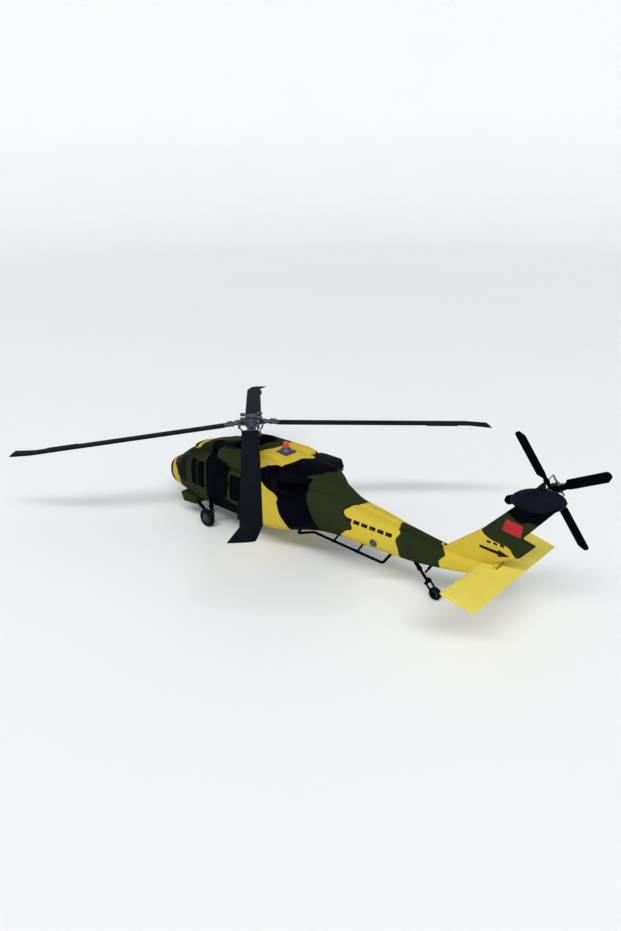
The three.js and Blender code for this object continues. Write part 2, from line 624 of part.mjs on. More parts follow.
function addTailGearbox() {
  const dome = solid(new THREE.SphereGeometry(1, 16, 10).scale(9.8, 4.2, 4.3));
  const tilted = dome.rotate([0, 12, 0]).translate([-137.2, -1.2, 52.9]);
  const top = sidePrism([[-135.2, 55.5], [-139.4, 55.5], [-138.3, 60.1]], -2.0, -0.8);
  const back = sidePrism([[-141.0, 52.4], [-147.0, 54.8], [-141.0, 56.6]], -1.8, -0.6);
  const finRoom = box(-150, -120, -FIN_HALF_THICKNESS - GAP, FIN_HALF_THICKNESS + GAP, 40, 53.0);
  const axis = new THREE.Vector3(0, 0, 1).applyEuler(TAIL_TURN);
  const inner = TAIL_HUB.clone().addScaledVector(axis, -8.4);
  const outer = TAIL_HUB.clone().addScaledVector(axis, 2);
  const bore = rod(inner.toArray(), outer.toArray(), TAIL_SHAFT_RADIUS + FIT, 12);
  add(model, 'tail_gearbox_fairing', cut(joined(tilted, top, back), finRoom, bore), blackPlastic);
}

addFuselage();
addGlazing();
addRoof();
addInterior();
addMainGear();
addTailGear();
addAntennaRail();
addStabiliser();
addMainRotor();
addTailRotor();
addTailGearbox();

model.updateMatrixWorld(true);
const bounds = new THREE.Box3().setFromObject(model, true);
model.position.set(-(bounds.min.x + bounds.max.x) / 2, -(bounds.min.y + bounds.max.y) / 2, -bounds.min.z);

export default model;
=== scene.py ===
"""The finished look of a 1:72 utility helicopter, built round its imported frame.

Shapes are worked out in millimetres with x = 0 just behind the rotor hub, +X the nose, +Y the left side
and z = 0 the ground. settle() turns each one into metres in the row frame.
"""
import json
import math

import bmesh
import bpy
import numpy as np
from mathutils import Matrix, Vector


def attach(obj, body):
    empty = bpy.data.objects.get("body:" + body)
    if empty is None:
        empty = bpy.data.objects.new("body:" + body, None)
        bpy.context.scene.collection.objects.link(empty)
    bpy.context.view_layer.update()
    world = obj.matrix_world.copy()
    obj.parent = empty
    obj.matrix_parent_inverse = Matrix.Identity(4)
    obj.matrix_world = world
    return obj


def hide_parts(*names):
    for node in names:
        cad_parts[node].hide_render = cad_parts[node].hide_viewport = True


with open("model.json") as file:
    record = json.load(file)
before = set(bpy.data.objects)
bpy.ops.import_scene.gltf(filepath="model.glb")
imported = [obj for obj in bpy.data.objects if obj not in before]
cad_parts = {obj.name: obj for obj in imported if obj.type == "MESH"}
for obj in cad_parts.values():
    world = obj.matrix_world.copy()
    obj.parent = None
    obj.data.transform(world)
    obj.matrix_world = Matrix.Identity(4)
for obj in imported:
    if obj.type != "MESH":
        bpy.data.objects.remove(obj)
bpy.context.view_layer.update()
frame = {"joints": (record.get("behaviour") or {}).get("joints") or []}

MM = 0.001
JOINTS = {joint["name"]: joint for joint in frame["joints"]}
HUB_X = 1.0
SHIFT = JOINTS["main_rotor_spin"]["pos_m"][0] / MM - HUB_X
SIDES = (("left", 1), ("right", -1))
SHARP_ANGLE = math.radians(34)


def joint_place(name):
    """A joint's point in the design frame."""
    x, y, z = (value / MM for value in JOINTS[name]["pos_m"])
    return Vector((x - SHIFT, y, z))


# ---------------------------------------------------------------- sizes shared with the frame
BELLY = 8.7
HUB = joint_place("main_rotor_spin")
MAST_TILT = math.radians(3.5)
BLADE_AZIMUTH = math.radians(46.8)
BLADE_RADIUS = 110.1
BLADE_ROOT = 11.0
BLADE_CHORD = 7.75
BLADE_NOSE = 0.42 * BLADE_CHORD
BLADE_THICKNESS = 0.8
TIP_SWEEP = math.radians(13.5)
TIP_FLARE = 0.15  # chord gained per millimetre of tip
TIP_LENGTH = 9.9
DROOP = 0.077
TAIL_HUB = joint_place("tail_rotor_spin")
TAIL_CANT = math.radians(14.5)
TAIL_TOE = math.radians(-6)
TAIL_RADIUS = 23.6
TAIL_PHASE = math.radians(-29.6)
TAIL_BEAM_OFFSET = 0.55
TAIL_CHORD = 3.8
STAB_HINGE = joint_place("stabiliser_tilt")
STAB_REST = math.radians(-10)
STAB_CHORD = 13.3
STAB_NOSE = 3.6
STAB_SPAN = 60.8
NACELLE_Y = 11.4
NACELLE_Z = 36.6

# Sections from nose to tail: x, bottom, top, half width, squareness.
FUSELAGE = [
    (61.3, 14.7, 16.1, 0.7, 2.0), (60.8, 13.8, 17.0, 2.0, 2.0), (59.6, 12.0, 18.6, 4.0, 2.2),
    (57.2, 10.1, 20.6, 6.2, 2.4), (54.2, 8.8, 22.2, 8.2, 2.6), (50.8, 8.5, 23.6, 9.8, 2.6),
    (46.8, 8.4, 26.2, 11.2, 2.7), (42.2, 8.4, 29.4, 12.5, 2.8), (37.6, 8.5, 32.0, 13.9, 3.0),
    (32.0, 8.6, 33.9, 15.2, 3.5), (22.0, 8.6, 35.2, 16.3, 4.0), (-20.0, 8.6, 35.2, 16.3, 4.0),
    (-28.0, 9.7, 35.6, 16.2, 4.0), (-36.0, 11.4, 36.6, 15.4, 3.4), (-43.0, 12.8, 36.4, 13.9, 2.7),
    (-49.0, 13.7, 34.6, 12.4, 2.4), (-55.0, 14.2, 32.0, 10.8, 2.4), (-60.0, 14.4, 30.2, 9.7, 2.5),
    (-75.0, 14.4, 28.0, 7.6, 3.0), (-90.0, 14.6, 25.9, 6.0, 3.0), (-107.0, 16.6, 24.4, 4.4, 3.0),
    (-118.0, 18.8, 24.2, 3.4, 2.8), (-126.5, 21.6, 26.0, 2.2, 2.4),
]
FORWARD_COWL = [
    (38.4, 31.0, 32.6, 3.2, 2.0), (38.0, 31.0, 33.2, 4.2, 2.2), (33.0, 31.0, 35.0, 6.6, 2.4),
    (26.0, 31.0, 37.2, 8.2, 2.8), (15.0, 31.0, 39.8, 8.9, 3.2), (5.4, 31.0, 41.7, 9.0, 3.2),
    (4.8, 31.0, 41.1, 8.4, 3.2),
]
# The aft cowl runs on as a narrow cover for the tail drive along the top of the boom.
AFT_COWL = [
    (-5.4, 31.0, 41.3, 8.8, 3.4), (-6.0, 31.0, 42.0, 9.4, 3.4), (-14.0, 31.0, 42.4, 9.6, 3.4),
    (-22.0, 31.0, 41.8, 9.6, 3.4), (-34.0, 31.0, 40.6, 9.8, 3.2), (-43.0, 31.0, 39.7, 10.2, 2.6),
    (-48.0, 30.5, 38.0, 8.4, 2.3), (-53.0, 30.0, 34.9, 5.4, 2.2), (-58.0, 29.0, 32.2, 2.8, 2.2),
    (-62.0, 28.0, 30.7, 1.5, 2.6), (-84.0, 25.4, 28.1, 1.4, 2.8), (-103.6, 23.2, 25.6, 1.3, 2.8),
]
# Side outlines, [x, z].
COCKPIT_PANE = [(43.0, 17.4), (43.0, 22.2), (38.2, 29.2), (33.4, 30.0), (33.4, 17.4)]
COCKPIT_DOOR = [(44.2, 10.8), (44.2, 22.8), (38.8, 30.2), (31.9, 31.2), (31.9, 10.8)]
GUNNER_PANES = [
    [(27.6, 18.6), (27.6, 31.2), (23.0, 31.2), (23.0, 18.6)],
    [(22.2, 18.6), (22.2, 31.2), (17.6, 31.2), (17.6, 18.6)],
]
CABIN_DOOR = [(12.0, 11.8), (12.0, 31.9), (-12.8, 31.9), (-12.8, 11.8)]
CABIN_PANES = [
    [(10.4, 18.4), (10.4, 30.4), (1.4, 30.4), (1.4, 18.4)],
    [(-0.4, 18.4), (-0.4, 30.4), (-11.2, 30.4), (-11.2, 18.4)],
]
CHIN_WINDOW = [(56.2, 11.2), (54.8, 16.0), (48.2, 15.0), (49.2, 10.2)]
WINDSHIELD = [(54.6, 22.0), (54.6, 38.0), (39.2, 38.0), (39.2, 29.6), (45.4, 20.8)]
EYEBROW = [(36.4, 8.6), (36.4, 11.3), (29.8, 12.2), (29.8, 8.9)]
FIN = [
    (-103.0, 21.4), (-104.0, 24.8), (-118.4, 36.8), (-131.0, 50.4), (-133.4, 51.8), (-145.2, 52.7),
    (-133.6, 37.6), (-138.7, 36.4), (-134.4, 31.1), (-127.6, 27.2), (-120.0, 22.0),
]


# ---------------------------------------------------------------- shape helpers
def smooth_rows(rows):
    """Sections 1 mm apart, closer at the nose, on a curve that never overshoots the given ones."""
    table = np.array(rows[::-1], float)
    x = table[:, 0]
    wanted = np.unique(np.concatenate([
        np.linspace(x[0], x[-1], int(x[-1] - x[0]) + 1),
        np.arange(52.0, x[-1], 0.4),
    ]))
    spot = np.clip(np.searchsorted(x, wanted, side="right") - 1, 0, len(x) - 2)
    width = np.diff(x)
    part = (wanted - x[spot]) / width[spot]
    columns = [wanted]
    for column in table[:, 1:].T:
        slope = np.diff(column) / width
        lean = np.concatenate([slope[:1], np.zeros(len(slope) - 1), slope[-1:]])
        same = slope[:-1] * slope[1:] > 0
        mean = 2 * slope[:-1] * slope[1:] / np.where(same, slope[:-1] + slope[1:], 1)
        lean[1:-1] = np.where(same, mean, 0)
        rise = width[spot]
        columns.append(
            column[spot] * (1 + 2 * part) * (1 - part) ** 2
            + lean[spot] * rise * part * (1 - part) ** 2
            + column[spot + 1] * part ** 2 * (3 - 2 * part)
            + lean[spot + 1] * rise * part ** 2 * (part - 1)
        )
    return np.stack(columns, 1)[::-1]


def parts_of(row, inset):
    """Waist height, rises above and below it, half width and squareness of a section."""
    bottom, top, wide, power = row[1] + inset, row[2] - inset, row[3] - inset, row[4]
    waist = bottom + 0.45 * (top - bottom)
    return waist, top - waist, waist - bottom, max(wide, 0.05), power


def section(row, inset, count):
    """Points round one section; the underside stops at the flat of the belly."""
    waist, above, below, wide, power = parts_of(row, inset)
    points = []
    for k in range(count):
        angle = 2 * math.pi * (k + 0.5) / count
        c, s = math.cos(angle), math.sin(angle)
        y = wide * math.copysign(abs(c) ** (2 / power), c)
        z = waist + (above if s > 0 else below) * math.copysign(abs(s) ** (2 / power), s)
        points.append((row[0], y, max(z, BELLY + inset)))
    return points


def row_at(rows, x):
    """The section of a body at x."""
    rising = rows[::-1]
    return [x] + [float(np.interp(x, rising[:, 0], rising[:, k])) for k in range(1, 5)]


def side_point(rows, x, z, inset):
    """The point on a body's left side at x and z."""
    waist, above, below, wide, power = parts_of(row_at(rows, x), inset)
    share = min(abs((z - waist) / (above if z > waist else below)), 0.999)
    return (x, wide * (1 - share ** power) ** (1 / power), z)


def top_point(rows, x, y, inset):
    """The point on a body's upper side at x and y."""
    waist, above, _, wide, power = parts_of(row_at(rows, x), inset)
    share = min(abs(y) / wide, 0.999)
    return (x, y, waist + above * (1 - share ** power) ** (1 / power))


def between(first, second, count):
    """The faces between two rings of points, given by number."""
    a, b = first * count, second * count
    return [(a + k, a + (k + 1) % count, b + (k + 1) % count, b + k) for k in range(count)]


def loft(rings):
    """A closed skin over rings of equally many points."""
    count = len(rings[0])
    faces = []
    for i in range(len(rings) - 1):
        faces += between(i, i + 1, count)
    last = (len(rings) - 1) * count
    faces += [tuple(range(count)), tuple(range(last, last + count))]
    return [p for ring in rings for p in ring], faces


def turned(profile, sides=32):
    """A turned solid about Z from [radius, height] points."""
    points = []
    for k in range(sides):
        angle = 2 * math.pi * k / sides
        points += [(r * math.cos(angle), r * math.sin(angle), h) for r, h in profile]
    size = len(profile)
    faces = []
    for k in range(sides):
        a, b = k * size, (k + 1) % sides * size
        faces += [(a + i, b + i, b + i + 1, a + i + 1) for i in range(size - 1)]
    return points, faces


def spokes(count, start=0.0):
    """Even turns about Z."""
    return [Matrix.Rotation(start + 2 * math.pi * k / count, 4, "Z") for k in range(count)]


def bolt(radius, low, high):
    """A hexagonal head."""
    return turned([(0, low), (radius, low), (radius, high), (0, high)], 6)


def tube(path, radius, sides=14):
    """A round bar along points; the radius may be one number or one for each point."""
    path = [Vector(p) for p in path]
    radii = radius if isinstance(radius, (list, tuple)) else [radius] * len(path)
    last = len(path) - 1
    ahead = [(path[min(i + 1, last)] - path[max(i - 1, 0)]).normalized() for i in range(last + 1)]
    across = ahead[0].orthogonal().normalized()
    rings = []
    for point, along, size in zip(path, ahead, radii):
        across = (across - along * across.dot(along)).normalized()
        other = along.cross(across)
        angles = [2 * math.pi * k / sides for k in range(sides)]
        rings.append([tuple(point + (across * math.cos(a) + other * math.sin(a)) * size) for a in angles])
    return loft(rings)


def corner_arc(before, corner, after, reach, steps):
    """The curve that rounds a corner between two directions."""
    start, end = corner + before.normalized() * reach, corner + after.normalized() * reach
    shares = [k / steps for k in range(steps + 1)]
    return [start * (1 - t) ** 2 + corner * 2 * t * (1 - t) + end * t ** 2 for t in shares]


def bent(points, radius):
    """The same path with its corners rounded."""
    points = [Vector(p) for p in points]
    path = [points[0]]
    for before, corner, after in zip(points, points[1:], points[2:]):
        path += corner_arc(before - corner, corner, after - corner, radius, 6)
    return path + [points[-1]]


def prism(outline, low, high, along="Y"):
    """An outline carried along Y (read as [x, z]) or along Z (read as [x, y])."""
    order = (lambda u, v, w: (u, w, v)) if along == "Y" else (lambda u, v, w: (u, v, w))
    return loft([[order(u, v, level) for u, v in outline] for level in (low, high)])


def block(low, high, bevel=0.15, segments=2):
    """A box with softened edges between two corners."""
    bm = bmesh.new()
    bmesh.ops.create_cube(bm, size=1.0)
    low, high = Vector(low), Vector(high)
    for vertex in bm.verts:
        vertex.co = Vector((low[i] + (vertex.co[i] + 0.5) * (high[i] - low[i]) for i in range(3)))
    bmesh.ops.bevel(bm, geom=bm.edges[:], offset=bevel, segments=segments, affect="EDGES", profile=0.5)
    bm.verts.index_update()
    result = [tuple(v.co) for v in bm.verts], [tuple(v.index for v in f.verts) for f in bm.faces]
    bm.free()
    return result


def shrunk(outline, distance):
    """An outline with every edge moved inward."""
    pairs = list(zip(outline, outline[1:] + outline[:1]))
    area = sum(x * nz - nx * z for (x, z), (nx, nz) in pairs)
    side = math.copysign(distance, area)
    edges = []
    for (x, z), (nx, nz) in pairs:
        length = math.hypot(nx - x, nz - z)
        dx, dz = (nx - x) / length, (nz - z) / length
        edges.append((x - dz * side, z + dx * side, dx, dz))
    result = []
    for (bx, bz, bdx, bdz), (x, z, dx, dz) in zip(edges[-1:] + edges[:-1], edges):
        along = ((x - bx) * dz - (z - bz) * dx) / (bdx * dz - bdz * dx)
        result.append((bx + bdx * along, bz + bdz * along))
    return result


def rounded(outline, radius, steps=4):
    """A closed outline with its corners rounded."""
    result = []
    for i in range(len(outline)):
        corner = Vector(outline[i])
        before = Vector(outline[i - 1]) - corner
        after = Vector(outline[(i + 1) % len(outline)]) - corner
        reach = min(radius, before.length * 0.45, after.length * 0.45)
        result += [tuple(point) for point in corner_arc(before, corner, after, reach, steps)]
    return result


def patch(rows, outline, inner, outer, side=1, ring=0.0, along="Y", step=1.2):
    """A closed panel that follows a body between two insets, over an outline on its side or top.

    With ring set, only a band of that width inside the outline.
    """
    bm = bmesh.new()
    count = len(outline)
    rim = [bm.verts.new((u, v, 0)) for u, v in outline]
    if ring:
        core = [bm.verts.new((u, v, 0)) for u, v in shrunk(outline, ring)]
        for i in range(count):
            n = (i + 1) % count
            bm.faces.new((rim[i], rim[n], core[n], core[i]))
    else:
        bm.faces.new(rim)
    for axis in (0, 1):
        low, high = min(p[axis] for p in outline), max(p[axis] for p in outline)
        cuts = int((high - low) / step)
        for k in range(1, cuts + 1):
            spot, normal = Vector((0, 0, 0)), Vector((0, 0, 0))
            spot[axis] = low + k * (high - low) / (cuts + 1)
            normal[axis] = 1
            everything = bm.verts[:] + bm.edges[:] + bm.faces[:]
            bmesh.ops.bisect_plane(bm, geom=everything, dist=1e-5, plane_co=spot, plane_no=normal)
    bm.verts.index_update()
    flat = [tuple(v.co)[:2] for v in bm.verts]
    tops = [tuple(v.index for v in f.verts) for f in bm.faces]
    walls = [tuple(v.index for v in e.verts) for e in bm.edges if e.is_boundary]
    bm.free()
    points = []
    for inset in (outer, inner):
        for u, v in flat:
            if along == "Y":
                x, y, z = side_point(rows, u, v, inset)
                points.append((x, y * side, z))
            else:
                points.append(top_point(rows, u, v * side, inset))
    half = len(flat)
    faces = tops + [tuple(i + half for i in reversed(f)) for f in tops]
    faces += [(a, b, b + half, a + half) for a, b in walls]
    return points, faces


class Shape:
    """The points and faces of one piece, gathered part by part in millimetres."""

    def __init__(self, part=None, place=None, side=1):
        self.points = []
        self.faces = []
        if part:
            self.add(part, place, side)

    def add(self, part, place=None, side=1):
        """Takes in a part, moved by a matrix and then mirrored for the right side."""
        start = len(self.points)
        for point in part[0]:
            p = place @ Vector(point) if place else Vector(point)
            self.points.append((p.x, p.y * side, p.z))
        self.faces += [tuple(i + start for i in face) for face in part[1]]
        return self

    def take(self, obj):
        """Takes in a mesh object's shape and removes the object."""
        mesh = obj.data
        self.add(([v.co for v in mesh.vertices], [tuple(f.vertices) for f in mesh.polygons]))
        bpy.data.objects.remove(obj)
        return self

    def object(self, name):
        """A mesh object, still in millimetres in the design frame."""
        mesh = bpy.data.meshes.new(name)
        mesh.from_pydata(self.points, [], self.faces)
        bm = bmesh.new()
        bm.from_mesh(mesh)
        bmesh.ops.remove_doubles(bm, verts=bm.verts, dist=1e-4)
        bmesh.ops.dissolve_degenerate(bm, edges=bm.edges, dist=1e-5)
        bmesh.ops.recalc_face_normals(bm, faces=bm.faces)
        bm.to_mesh(mesh)
        bm.free()
        obj = bpy.data.objects.new(name, mesh)
        bpy.context.scene.collection.objects.link(obj)
        return obj


def split_caps(obj):
    """Cuts many-sided flat faces into triangles, so that a dented outline stays dented."""
    bm = bmesh.new()
    bm.from_mesh(obj.data)
    caps = [face for face in bm.faces if len(face.verts) > 4]
    bmesh.ops.triangulate(bm, faces=caps, ngon_method="EAR_CLIP")
    bm.to_mesh(obj.data)
    bm.free()


def apply_modifiers(obj):
    """Bakes an object's modifiers into its mesh."""
    depsgraph = bpy.context.evaluated_depsgraph_get()
    mesh = bpy.data.meshes.new_from_object(obj.evaluated_get(depsgraph))
    obj.modifiers.clear()
    obj.data = mesh


def carve(obj, tool, operation="DIFFERENCE"):
    """Cuts a shape out of an object, or keeps what they share."""
    cutter = tool.object("cutter")
    modifier = obj.modifiers.new("cut", "BOOLEAN")
    modifier.object = cutter
    modifier.operation = operation
    modifier.solver = "EXACT"
    apply_modifiers(obj)
    bpy.data.objects.remove(cutter)


def soften(obj, width, segments=2):
    """Rounds the sharp edges of an object."""
    modifier = obj.modifiers.new("edges", "BEVEL")
    modifier.width = width
    modifier.segments = segments
    modifier.limit_method = "ANGLE"
    modifier.angle_limit = math.radians(35)
    apply_modifiers(obj)


def mirror(obj):
    """Turns an object for the left side into the one for the right."""
    obj.data.transform(Matrix.Scale(-1, 4, (0, 1, 0)))
    obj.data.flip_normals()


def settle(obj, material, body="airframe", nodes=(), place=None):
    """Moves a finished shape into the row frame, gives it its material and body, and hides the imported nodes
    it takes the place of.
    """
    if place:
        obj.data.transform(place)
    obj.data.transform(Matrix.Scale(MM, 4) @ Matrix.Translation((SHIFT, 0, 0)))
    obj.data.materials.clear()
    obj.data.materials.append(material)
    for polygon in obj.data.polygons:
        polygon.use_smooth = True
    obj.data.set_sharp_from_angle(angle=SHARP_ANGLE)
    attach(obj, body)
    if nodes:
        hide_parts(*nodes)


def piece(name, shape, material, body="airframe", nodes=(), place=None):
    """A whole piece straight from its shape."""
    settle(shape.object(name), material, body, nodes, place)


# ---------------------------------------------------------------- materials
class Nodes:
    """Makes the nodes of one material; a socket given as a value is linked."""

    def __init__(self, name):
        self.material = bpy.data.materials.new(name)
        self.material.use_nodes = True
        self.tree = self.material.node_tree
        self.tree.nodes.clear()
        self.spot = self.add("ShaderNodeTexCoord").outputs["Object"]

    def add(self, kind, inputs=None, **settings):
        node = self.tree.nodes.new(kind)
        for key, value in settings.items():
            setattr(node, key, value)
        for key, value in (inputs or {}).items():
            if isinstance(value, bpy.types.NodeSocket):
                self.tree.links.new(value, node.inputs[key])
            else:
                node.inputs[key].default_value = value
        return node

    def math(self, operation, a, b=0.0, c=0.0, clamp=False):
        node = self.add("ShaderNodeMath", {0: a, 1: b, 2: c}, operation=operation, use_clamp=clamp)
        return node.outputs[0]

    def noise(self, size, detail=2.0, roughness=0.5):
        """Noise from 0 to 1 with features of a size in millimetres."""
        inputs = {"Vector": self.spot, "Scale": 1 / (size * MM), "Detail": detail, "Roughness": roughness}
        return self.add("ShaderNodeTexNoise", inputs).outputs["Fac"]

    def mix(self, factor, a, b):
        return self.add("ShaderNodeMix", {0: factor, 6: a, 7: b}, data_type="RGBA").outputs[2]

    def spread(self, factor, low, high):
        """A factor from 0 to 1 spread over another range."""
        return self.add("ShaderNodeMapRange", {0: factor, 3: low, 4: high}).outputs[0]

    def shade(self, colour, low, high, factor):
        """The colour made darker and lighter by a factor that runs from 0 to 1."""
        value = self.spread(factor, low, high)
        return self.add("ShaderNodeHueSaturation", {"Value": value, "Color": colour}).outputs[0]

    def finish(self, colour, roughness, bump, metallic=0.0, coat=0.0, specular=0.5):
        """The shader. bump is (height socket, strength, depth in millimetres)."""
        inputs = {
            "Base Color": colour, "Roughness": roughness, "Metallic": metallic,
            "Specular IOR Level": specular, "Coat Weight": coat, "Coat Roughness": 0.1,
        }
        height, strength, depth = bump
        values = {"Height": height, "Strength": strength, "Distance": depth * MM}
        inputs["Normal"] = self.add("ShaderNodeBump", values).outputs[0]
        shader = self.add("ShaderNodeBsdfPrincipled", inputs)
        self.add("ShaderNodeOutputMaterial", {0: shader.outputs[0]})
        return self.material


YELLOW = (0.55, 0.42, 0.044, 1)
OLIVE = (0.019, 0.027, 0.0105, 1)
BLACK = (0.0013, 0.0018, 0.0036, 1)


def painted(nodes, colour):
    """Matt sprayed paint: a fine grain in colour and surface, with broad faint unevenness."""
    grain = nodes.noise(0.34, 3.0, 0.65)
    cloud = nodes.noise(7.0, 3.0, 0.55)
    colour = nodes.shade(colour, 0.86, 1.14, grain)
    colour = nodes.shade(colour, 0.90, 1.10, cloud)
    rough = nodes.spread(cloud, 0.46, 0.62)
    return nodes.finish(colour, rough, bump=(grain, 0.32, 0.05), specular=0.012)


def curve(nodes, value, points, low, high):
    """A smooth curve of one number against another, through [in, out] points in millimetres."""
    first, last = points[0][0], points[-1][0]
    share = nodes.add("ShaderNodeMapRange", {0: value, 1: first, 2: last}).outputs[0]
    node = nodes.add("ShaderNodeFloatCurve", {"Value": share})
    line = node.mapping.curves[0]
    scaled = [((u - first) / (last - first), (v - low) / (high - low)) for u, v in points]
    for index, (u, v) in enumerate(scaled):
        if index in (0, len(scaled) - 1):
            line.points[min(index, 1)].location = (u, v)
    for u, v in scaled[1:-1]:
        line.points.new(u, v)
    node.mapping.update()
    return nodes.spread(node.outputs[0], low, high)


# Edges between the camouflage colours from nose to tail. The first number is the girth, height
# less distance from the middle, so it grows from the belly up over the roof; the second is x.
GIRTH_LOW, GIRTH_HIGH = -12.0, 44.0
BANDS = [
    (YELLOW, [(-12, 54), (1, 52.4), (4, 50.4), (8, 50.6), (12, 52), (20, 55), (44, 55)]),
    (OLIVE, [(-12, 47), (-2, 44), (1, 42), (3.5, 41.5), (6, 42.6), (8, 44), (12, 47.5), (16, 51), (44, 53)]),
    # This black band is partly black paint and partly painted shade: on the side of the forward cowl it also
    # covers the shaded recess between the cowl and the engine nacelle.
    (BLACK, [
        (-12, 15), (0, 16.4), (12, 16.4), (18, 17.4), (22, 18), (25, 18.5), (28.5, 20), (32, 22.5),
        (34.5, 25.5), (36, 20), (38, 8), (44, 3),
    ]),
    (OLIVE, [
        (-12, -14), (-2, -10), (0.3, -4), (1.2, 2.6), (3, 2.8), (5, 1.2), (14, 0.9), (19.5, 1.4), (21.5, 9.5),
        (27.3, 9.5), (28.5, 2), (44, 2),
    ]),
    (YELLOW, [(-12, -8), (-1, -9), (8, -12), (17, -13), (25, -9), (31, -10), (37, -12), (44, -16)]),
    # This black band is partly black paint and partly painted shade: on the side under the exhaust boxes it
    # also stands for their shadow.
    (BLACK, [
        (-12, -39), (0.5, -35), (4, -32), (9, -30.2), (13.2, -29.2), (15, -23.5), (17, -20.2), (19, -17.8),
        (23, -21), (27, -24.6), (32, -28.4), (38, -30.2), (44, -29),
    ]),
    (OLIVE, [
        (-12, -58), (6, -51), (9, -48.6), (12, -47), (19, -44), (26, -43), (30, -41.6), (33.5, -44.4),
        (38, -45.5), (44, -45),
    ]),
    (YELLOW, [
        (-12, -56), (4, -58), (10, -61.4), (13, -65.6), (16, -65), (20, -60.8), (24, -61.4), (27, -63),
        (30, -65), (44, -66),
    ]),
    (OLIVE, [
        (-12, -92), (8, -89), (11, -87.6), (14, -86.6), (17, -85.6), (21, -86.4), (24, -84.4), (27, -84),
        (44, -84),
    ]),
    (YELLOW, [
        (-12, -108), (11, -106), (14.5, -104.6), (19, -106.6), (22.5, -104.6), (26, -102.6), (44, -102),
    ]),
]
# Height or girth of an edge against x.
ROOF_BLACK = [(32.4, 44), (33.4, 27), (34.5, 24.6), (37, 23), (39, 22), (41, 21)]
ROOF_YELLOW = [(28.4, 44), (29, 30.5), (29.6, 27), (31, 25.4), (32.6, 26), (33.4, 44)]
FIN_GREEN = [
    (-140, 27), (-134.5, 28.5), (-132, 31.4), (-129.8, 33.4), (-126, 34), (-122, 34.8), (-119.2, 36.9),
    (-116, 44),
]
FIN_BLACK = [
    (-146, 46), (-138.6, 45.4), (-135.7, 45.2), (-133.7, 44.2), (-129.8, 45.6), (-128.2, 46.6), (-124, 48),
    (-118, 49),
]


def camouflage():
    """Wavy bands of yellow, olive and black round the whole airframe."""
    nodes = Nodes("camouflage_paint")
    xyz = nodes.add("ShaderNodeSeparateXYZ", {0: nodes.spot}).outputs
    across = nodes.math("DIVIDE", xyz[1], MM)
    high = nodes.math("DIVIDE", xyz[2], MM)
    wave = nodes.math("MULTIPLY_ADD", nodes.noise(3.4, 1.0), 1.7, -0.85)
    along = nodes.math("MULTIPLY_ADD", xyz[0], 1 / MM, -SHIFT)
    along = nodes.math("ADD", along, wave)
    right = nodes.math("MULTIPLY", across, -0.18, clamp=True)
    along = nodes.math("MULTIPLY_ADD", right, 3.0, along)
    girth = nodes.math("SUBTRACT", high, nodes.math("ABSOLUTE", across))
    girth = nodes.math("ADD", girth, wave)

    def below(value, limit):
        """1 where the value is under the limit, with an edge 0.2 mm wide."""
        gap = nodes.math("SUBTRACT", limit, value)
        return nodes.math("MULTIPLY_ADD", gap, 5.0, 0.5, clamp=True)

    colour = BLACK
    for paint, points in BANDS:
        limit = curve(nodes, girth, points, -110, 60)
        colour = nodes.mix(below(along, limit), colour, paint)
    for paint, points in ((BLACK, ROOF_BLACK), (YELLOW, ROOF_YELLOW)):
        roof = curve(nodes, along, points, GIRTH_LOW, GIRTH_HIGH)
        colour = nodes.mix(below(roof, girth), colour, paint)
    on_fin = below(along, -112.0)
    for paint, points in ((OLIVE, FIN_GREEN), (BLACK, FIN_BLACK)):
        above = below(curve(nodes, along, points, 20, 60), high)
        colour = nodes.mix(nodes.math("MULTIPLY", above, on_fin), colour, paint)
    return painted(nodes, colour)


def glazing():
    """Dark tinted clear plastic with a slight ripple."""
    nodes = Nodes("tinted_glazing")
    ripple = nodes.noise(6.0, 1.0)
    colour = nodes.shade((0.0014, 0.0017, 0.0032, 1), 0.7, 1.4, ripple)
    rough = nodes.spread(nodes.noise(1.4), 0.3, 0.42)
    return nodes.finish(colour, rough, bump=(ripple, 0.25, 0.12), specular=0.006)


def blade_paint(name, dark, light):
    """Matt charcoal with a fine lighter speckle and broad faint patches."""
    nodes = Nodes(name)
    grain = nodes.noise(0.26, 3.0, 0.7)
    cloud = nodes.noise(5.0, 2.0)
    colour = nodes.mix(grain, dark, light)
    colour = nodes.shade(colour, 0.8, 1.2, cloud)
    rough = nodes.spread(cloud, 0.5, 0.66)
    return nodes.finish(colour, rough, bump=(grain, 0.4, 0.05), specular=0.012)


def metal(name, base, light, roughness):
    """Painted or bare metal with fine scratches and duller patches."""
    nodes = Nodes(name)
    scuff = nodes.noise(0.9, 4.0, 0.7)
    fine = nodes.noise(0.18, 2.0)
    colour = nodes.mix(scuff, base, light)
    rough = nodes.spread(scuff, roughness - 0.1, roughness + 0.16)
    return nodes.finish(colour, rough, bump=(fine, 0.3, 0.03), metallic=0.82)


def plastic(name, base, light, roughness, specular=0.03):
    """Moulded plastic with a faint orange-peel surface."""
    nodes = Nodes(name)
    peel = nodes.noise(0.5, 3.0, 0.6)
    colour = nodes.mix(nodes.noise(3.0, 3.0), base, light)
    rough = nodes.spread(peel, roughness - 0.07, roughness + 0.09)
    return nodes.finish(colour, rough, bump=(peel, 0.25, 0.05), specular=specular)


def red_lens():
    """Glossy red moulding with faint patches of deeper and lighter red."""
    nodes = Nodes("red_lens")
    cloud = nodes.noise(1.2, 2.0)
    colour = nodes.mix(cloud, (0.62, 0.012, 0.022, 1), (0.78, 0.03, 0.035, 1))
    rough = nodes.spread(cloud, 0.16, 0.28)
    return nodes.finish(colour, rough, bump=(nodes.noise(0.4), 0.12, 0.04), coat=0.5)


